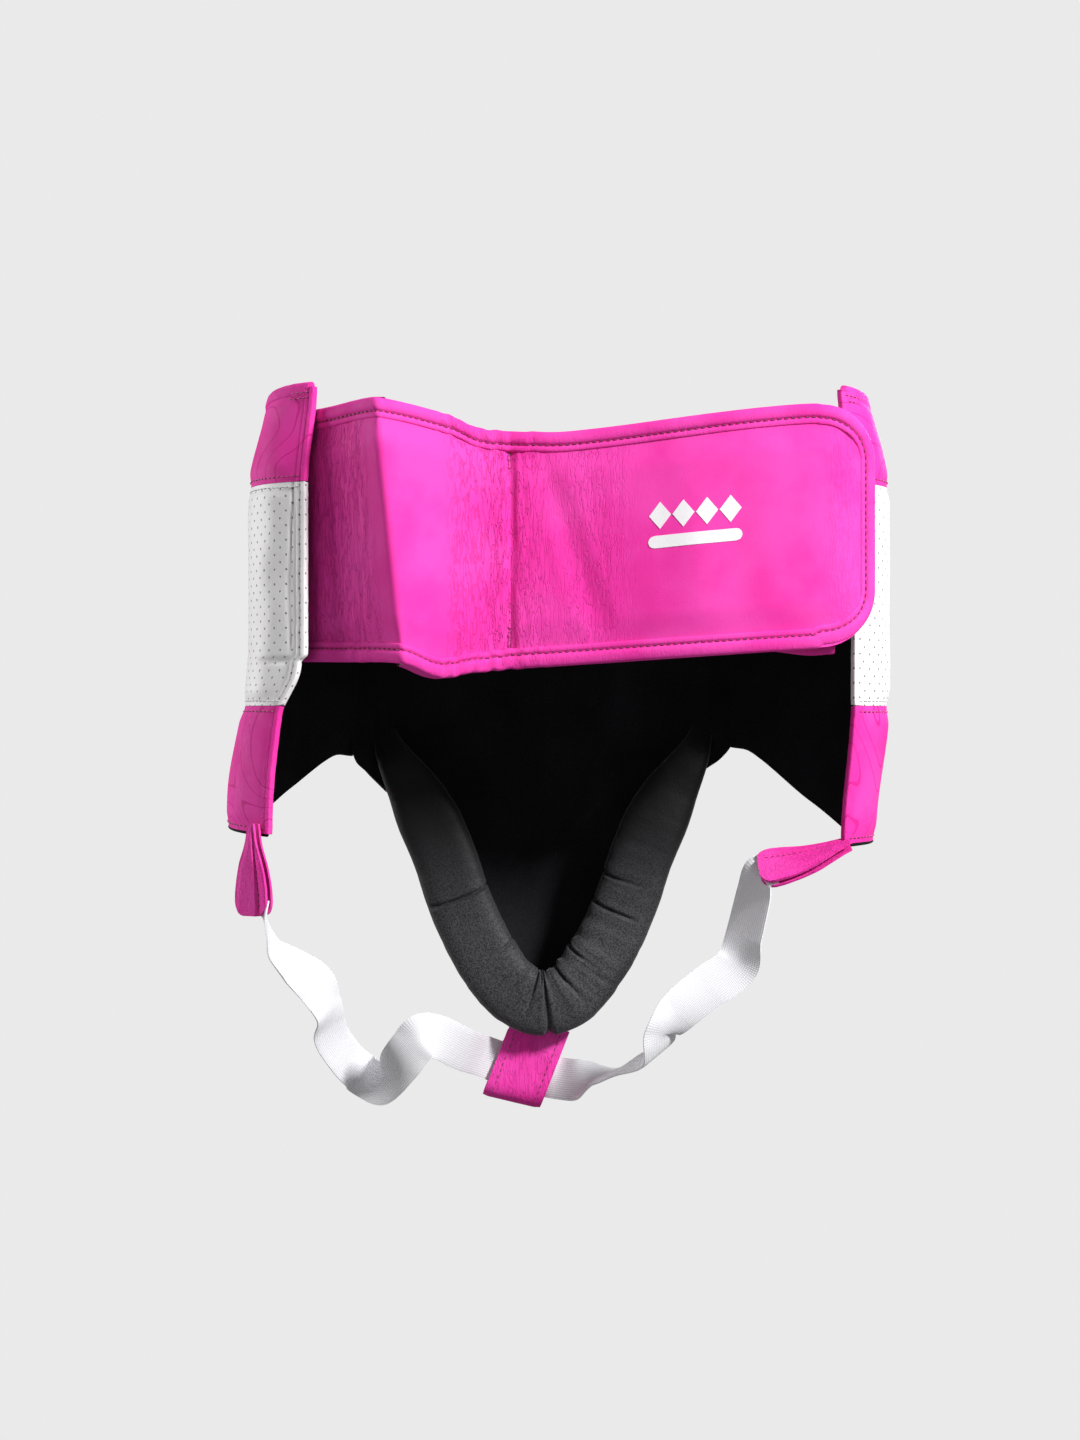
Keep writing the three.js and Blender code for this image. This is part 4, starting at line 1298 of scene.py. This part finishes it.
def make_belt_flap():
    skin = Skin(flap_spot, 270, 170, outward=-1)
    edge = flap_edge_distance(skin.points)
    belt_layers("belt_flap", skin, edge, FLAP_PAD, FLAP_BEND)
    x, z = flap_outline(620)
    rim = np.stack([x, through(FLAP_PLAN, x), z], -1)
    tangent = unit(np.gradient(rim, axis=0))
    inside = np.minimum(x, FLAP_END - 1)
    slope = (through(FLAP_PLAN, inside + 1) - through(FLAP_PLAN, inside - 1)) / 2
    out = unit(np.stack([slope, -1 + 0 * x, 0 * x], -1))
    into = unit(np.cross(out, tangent))
    if into[0, 2] > 0:
        into = -into
    profile = edge_profile(BINDING_WIDTH, FLAP_DEPTH, 1.25, 0.7, 8)
    pucker = np.clip(0.9 * smoothstep(-x, -14, 10) + 0.25 * bump(x, FLAP_END, 40), 0.06, 1)
    strip = binding("belt_flap_edge", rim, into, out, profile, binding_leather, pucker, 92)
    place(strip, FLAP_BEND, "pink_binding", "belt_flap_binding")
    spots = rim + into * (BINDING_WIDTH - STITCH_INSET) + out * STITCH_LIFT
    sew("belt_flap_stitches", spots, out, shaded_thread, FLAP_BEND)
    make_hook_patch()
    make_mark(skin, edge)


def make_hook_patch():
    low, high = box_mm("belt_hook_patch")

    def surface(u, v):
        x = lerp(low[0], high[0], u)
        return np.stack([x, through(FLAP_PLAN, x), lerp(low[2], high[2], v)], -1)

    area = Skin(surface, 60, 60, outward=-1)
    pile = 0.2 * noise(area.across / 1.6, area.up / 1.6, 95)
    front = -FLAP_DEPTH - GAP
    patch = area.layer("flap_hook_patch", front, front - 1.5 + pile, hook_pile)
    place(patch, "belt_flap", "hook_and_loop", "belt_hook_patch")


def make_mark(skin, edge):
    """A plain printed mark: four diamonds above a round-ended bar."""
    relief, _ = belt_relief(skin.points, edge)
    left, right = 58.5, 109.5
    centre_z = 6.5
    slope = 0.09
    ink = 0.28

    def spot(x, z):
        u = 1 - ((FLAP_END - x) / (FLAP_END - SEAM[0])) ** (1 / FLAP_CROWDING)
        low = through(FLAP_BOTTOM, x)
        v = (z - low) / (through(FLAP_TOP, x) - low)
        rows, columns = relief.shape
        height = relief[np.round(v * (rows - 1)).astype(int), np.round(u * (columns - 1)).astype(int)]
        return skin.spot(u, v, height)

    shapes = []
    pitch = (right - left) / 4
    for k in range(4):
        middle = left + pitch * (k + 0.5)
        shapes.append(("diamond", middle, centre_z + 6, pitch * 0.47, 7.5))
    shapes.append(("bar", (left + right) / 2, centre_z - 8.5, (right - left) / 2, 3.4))
    steps = 16
    points, faces = [], []
    for kind, x0, z0, half, rise in shapes:
        s, t = np.meshgrid(np.linspace(-1, 1, steps), np.linspace(-1, 1, steps))
        if kind == "diamond":
            x = x0 + half * (s + t) / 2
            z = z0 + rise * (s - t) / 2
        else:
            x = x0 + (half - rise * (1 - np.sqrt(np.maximum(1 - t**2, 0)))) * s
            z = z0 + rise * t
        z = z + slope * (x - (left + right) / 2)
        surface, out = spot(x, z)
        start = sum(len(p) for p in points)
        points.append(np.stack([surface + out * ink, surface - out * ink]).reshape(-1, 3))
        faces.append(shell_faces(steps, steps) + start)
    mark = make_object("printed_mark", np.vstack(points), np.vstack(faces), white_ink)
    place(mark, "belt_flap", None)


# ---- Anchor strap under the flap ----

def make_anchor_strap():
    low, high = box_mm("anchor_strap_leather")
    bend_y = -70
    body = ("root", "anchor_strap", (high[0], bend_y, 0), (high[0] - 12, bend_y, 0))

    def surface(u, v):
        x = lerp(low[0], high[0], u)
        peeks_out = smoothstep(x, high[0] - 60, high[0] - 10)
        bottom = through(FLAP_BOTTOM, x) + lerp(4, -3, peeks_out)
        top = through(FLAP_TOP, x) - lerp(6, 1.5, peeks_out)
        return np.stack([x, through(FLAP_PLAN, x), lerp(bottom, top, v)], -1)

    skin = Skin(surface, 120, 130, outward=-1)
    start = -(FLAP_DEPTH + 4 * GAP + 3.1)
    edge = skin.from_ends()
    waves = 0.5 * noise(skin.across / 20, skin.up / 30, 96) * smoothstep(edge, 0, 20)
    cover = skin.layer("anchor_cover", start, start - LEATHER, pink_leather, 0.3)
    place(cover, body, "pink_leather", "anchor_strap_leather")
    pad = start - LEATHER - GAP
    add_foam(skin, "anchor_padding", pad, FLAP_PAD, body, "anchor_strap_foam")
    back = pad - FLAP_PAD - GAP
    add_lining(skin, "anchor_backing", back, 0.6 * waves - 0.4, body, "anchor_strap_lining")
    along = np.linspace(0, 1, 200)
    profile = edge_profile(8, FLAP_DEPTH, 0.9, 1.2, 7)
    for label, v, toward in (("top", 1.0, -1), ("bottom", 0.0, 1)):
        rim, into, out = rail(skin, along, np.full_like(along, v), toward)
        rim = rim + out * start
        pucker = 0.3 + 0 * along
        strip = binding(f"anchor_{label}_edge", rim, into, out, profile, binding_leather, pucker, 97)
        place(strip, body, "pink_binding", f"anchor_strap_{label}_binding")

    area = Skin(lambda u, v: surface(lerp(0.12, 0.9, u), lerp(0.06, 0.94, v)), 60, 80, outward=-1)
    top = start + GAP + 1.3
    pile = 0.2 * noise(area.across / 1.8, area.up / 1.8, 98)
    loops = area.layer("anchor_loop_pile", top + pile, start + GAP * 0.5, hook_pile)
    place(loops, body, "hook_and_loop", "anchor_loop_panel")


# ---- Elastic under-strap and tabs ----

ELASTIC_WIDTH = 25
ELASTIC_THICKNESS = 1.5
# Stations of the strap from the left tab to the right one: x, y, z and a vector across it.
ELASTIC_LEFT = [
    (-160.5, -54, -206, 7, -6, 0),
    (-156, -53, -213.5, 1, -10, 0),
    (-153.5, -51.5, -222, 0, -10, -1),
    (-150.5, -49, -231, -2, -10, -2),
    (-140.5, -44, -240.5, -11, -19, -11),
    (-128, -38, -252, -15, -12, -16),
    (-121.5, -31, -266.5, -11, -19, -11),
    (-122, -21, -279, -15, -19, -7),
    (-116, -6, -294, -12, -16, -12),
    (-106, 9, -308, -5, -6, -22),
    (-93, -9, -311.5, 0, -3, -25),
    (-82, -26, -298, 11, 0, -22),
    (-75, -30, -288.5, 12, 0, -22),
    (-69, -30, -281.5, 5, 0, -24),
    (-61, -22, -283, 0, 0, -25),
    (-46, 12, -295, -9, 0, -23),
    (-36, 39, -302, -10, 0, -23),
    (-29, 46.2, -305.5, -10, 0, -23),
    (-22, 46.2, -308.5, -9, 0, -23),
]
ELASTIC_CENTRE = [
    (-22.5, 46.2, -308.3, -9, 0, -23),
    (-9, 46.2, -313, -8, 0, -24),
    (3, 46.2, -315, -5, 0, -25),
]
ELASTIC_RIGHT = [
    (2.5, 46.2, -315, 5, 0, 25),
    (10, 44.5, -316, 2, 6, 24),
    (20, 37, -316, -5, 14, 20),
    (36.5, 24, -312.5, 15, 18, 7),
    (50, 0, -302, 19, 12, 13),
    (66, -30, -291.5, 18, 12, 13),
    (67, -40, -279, 13, 17, -11),
    (76, -40, -267, 17, 6, -19),
    (93.5, -38, -253, 15, -3, -22),
    (109.5, -37, -241, 19, -5, -15),
    (113.5, -40, -224, 18, -16, -6),
    (118.5, -44, -201.5, 17, -17, -5),
    (121.5, -45.8, -188.5, 12, -17, -11),
    (129, -46.7, -184.8, 12, -17, -12),
]
LEFT_TAB = [(-162, -54, -160, 7, -6, 0), (-162, -54, -186, 7, -6, 0), (-161.5, -54, -211.5, 7, -6, 0)]
RIGHT_TAB = [(172, -50, -171.5, 0, 9, 3), (147, -48, -181, -2.5, 8.3, 5), (121.5, -46, -186.5, -5, 7, 5)]
TAB_ROUNDING = 8


def ribbon(stations, widths, rounding=0):
    """A band's surface: u along its stations, v across; widths are (share, width) stops along it."""
    stations = np.array(stations, float)
    centres = Line(stations[:, :3])
    turns = Line(unit(stations[:, 3:]))

    def surface(u, v):
        width = through(widths, u)
        into = np.clip(np.abs(2 * v - 1) * width / 2 - (width / 2 - rounding), 0, rounding)
        tuck = rounding - np.sqrt(rounding**2 - into**2)
        u = u * (1 - tuck / centres.length)
        heading = unit(centres.at(u + 0.004, stations=True) - centres.at(u - 0.004, stations=True))
        across = turns.at(u, stations=True)
        across = unit(across - heading * np.sum(across * heading, axis=-1, keepdims=True))
        return centres.at(u, stations=True) + across * ((v - 0.5) * width)[..., None]

    return surface, centres.length


def make_elastic():
    half = ELASTIC_THICKNESS / 2
    even = [(0, ELASTIC_WIDTH), (1, ELASTIC_WIDTH)]
    spans = [
        ("left", ELASTIC_LEFT, 330, ("left_tab", "root", ELASTIC_LEFT[0][:3], ELASTIC_LEFT[4][:3])),
        ("centre", ELASTIC_CENTRE, 40, "root"),
        ("right", ELASTIC_RIGHT, 300, ("root", "right_tab", ELASTIC_RIGHT[-5][:3], ELASTIC_RIGHT[-2][:3])),
    ]
    for label, stations, columns, body in spans:
        surface, length = ribbon(stations, even)
        skin = Skin(surface, columns, 24)
        rounded = half * (1 - 0.45 * np.abs(2 * skin.v - 1) ** 8)
        cup = 0.4 * noise(skin.across / 30, 0 * skin.up, 101)
        name = f"elastic_{label}_strap"
        strap = skin.layer(name, rounded + cup, -rounded + cup, white_elastic, smooth_angle=80)
        place(strap, body, "white_elastic", f"elastic_{label}")


def make_tabs():
    clearance = 0.45
    apart = ELASTIC_THICKNESS / 2 + clearance
    leaf = 1.4
    tabs = [
        ("left", LEFT_TAB, [(0, 5), (0.25, 9), (0.55, 19), (0.8, 24), (1, 25)]),
        ("right", RIGHT_TAB, [(0, 9), (0.4, 18), (0.8, 25), (1, 26.5)]),
    ]
    for side, stations, widths in tabs:
        sewn_end = lerp(np.array(stations[0][:3]), np.array(stations[1][:3]), 0.3)
        bend = ("root", f"{side}_tab", sewn_end, stations[1][:3])
        surface, _ = ribbon(stations, widths, TAB_ROUNDING)
        skin = Skin(surface, 80, 60)
        edge = np.minimum(skin.v, 1 - skin.v) * through(widths, skin.u)
        puff = 0.8 * smoothstep(edge, 0.3, 4) * smoothstep(skin.u, 0, 0.2)
        groove = 1.5 * bump(skin.v, 0.76, 0.09) * smoothstep(skin.u, 0.02, 0.12)
        dents = 0.25 * noise(skin.across / 8, skin.up / 8, 111)
        for label, sign in (("outer", 1), ("inner", -1)):
            high = sign * (apart + leaf + puff + dents - groove)
            low = sign * apart + 0 * puff
            cover = skin.layer(f"{side}_tab_{label}_cover", high, low, pink_leather, 0.4)
            place(cover, bend, "pink_leather", f"{side}_tab_{label}_leaf")
            u = np.linspace(0.06, 0.93, 80)
            spots, out = skin.spot(u, np.full_like(u, 0.76), sign * (apart + leaf - 0.5))
            sew(f"{side}_tab_{label}_stitches", spots, sign * out, shaded_thread, bend, 2.2, 1)


# ---- Crotch loop with its press stud ----

LOOP_TOP = np.array([-4, 0, -291.5])
LOOP_DOWN = unit(np.array([-0.36, 0, -0.93]))
LOOP_ACROSS = unit(np.array([0.97, 0, -0.23]))
LOOP_WIDTH = 35
LOOP_LEAF = 1.4


def loop_surface(stops):
    """A leaf of the loop through (depth y, distance down) stops, from its top to its end."""
    path = Line([(0, y, down) for y, down in stops])

    def surface(u, v):
        spot = path.at(v)
        base = LOOP_TOP + LOOP_DOWN * spot[..., 2:3] + LOOP_ACROSS * ((u - 0.5) * LOOP_WIDTH)[..., None]
        base[..., 1] = spot[..., 1]
        return base

    return surface


def make_crotch_loop():
    rear_stops = [(42, -8), (42, 18), (42, 34), (44.5, 39), (50, 41.5), (55, 40.5)]
    leaves = [
        ("rear_leaf", rear_stops, "root", "loop_rear_leaf"),
        ("tongue", [(51, 0), (51, 17), (51, 34)], "root", "loop_tongue"),
        ("front_leaf", [(58.6, 8), (58.6, 24), (58.6, 40)], "loop_flap", "loop_front_leaf"),
    ]
    for label, stops, body, node in leaves:
        skin = Skin(loop_surface(stops), 40, 70)
        edge = np.minimum(skin.u, 1 - skin.u) * LOOP_WIDTH
        puff = 0.5 * smoothstep(edge, 0.4, 3.2) + 0.2 * noise(skin.across / 7, skin.up / 9, 121)
        leaf = skin.layer(f"crotch_loop_{label}", puff, -LOOP_LEAF - 0.3, pink_leather, 0.5)
        place(leaf, body, "pink_leather", node)
        for row, u in (("left", 0.13), ("right", 0.87)):
            v = np.linspace(0.04, 0.96, 90)
            for face, height, sign in (("a", 0.45, 1), ("b", -LOOP_LEAF - 0.4, -1)):
                spots, out = skin.spot(np.full_like(v, u), v, height)
                sew(f"crotch_loop_{label}_{row}_stitches_{face}", spots, sign * out, shaded_thread, body)


def turned(name, centre, profile, material):
    """A round piece about the Y axis from (radius, y) points."""
    sides = 48
    turn = np.linspace(0, 2 * np.pi, sides, endpoint=False)
    rings = []
    for radius, y in profile:
        rings.append(np.stack([radius * np.cos(turn), np.full(sides, y), radius * np.sin(turn)], -1))
    return sweep(name, np.array(rings) + centre, material, smooth_angle=35)


def make_press_stud():
    stud = [(0.5, 0), (4, 0), (4, 0.7), (2.6, 1.0), (1.9, 1.3), (2.1, 2.0), (1.7, 2.5), (0.5, 2.6)]
    socket = [(0.5, 0), (3.0, 0), (4.6, 0.4), (5, 1.0), (4.6, 1.8), (3.2, 2.0), (0.5, 2.0)]
    cap = [(0.5, 0), (5.6, 0), (6, 0.4), (5.8, 0.9), (4.6, 1.3), (2.5, 1.55), (0.5, 1.6)]
    for node, body, profile in (
        ("snap_stud", "root", stud),
        ("snap_socket", "loop_flap", socket),
        ("snap_cap", "loop_flap", cap),
    ):
        low, high = box_mm(node)
        centre = np.array([(low[0] + high[0]) / 2, low[1], (low[2] + high[2]) / 2])
        piece = turned(f"{node}_metal", centre, profile, steel)
        place(piece, body, "snap_steel", node)


def dress_cup_shell():
    """The hard cup keeps its CAD shape and takes a moulded plastic."""
    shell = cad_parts["cup_shell"]
    shell.data.materials.clear()
    shell.data.materials.append(ivory_plastic)


make_belly()
make_cup()
make_rim_roll()
make_wing("left")
make_wing("right")
make_top_binding()
make_belt_base()
make_belt_flap()
make_anchor_strap()
make_tabs()
make_crotch_loop()
make_elastic()
make_press_stud()
dress_cup_shell()
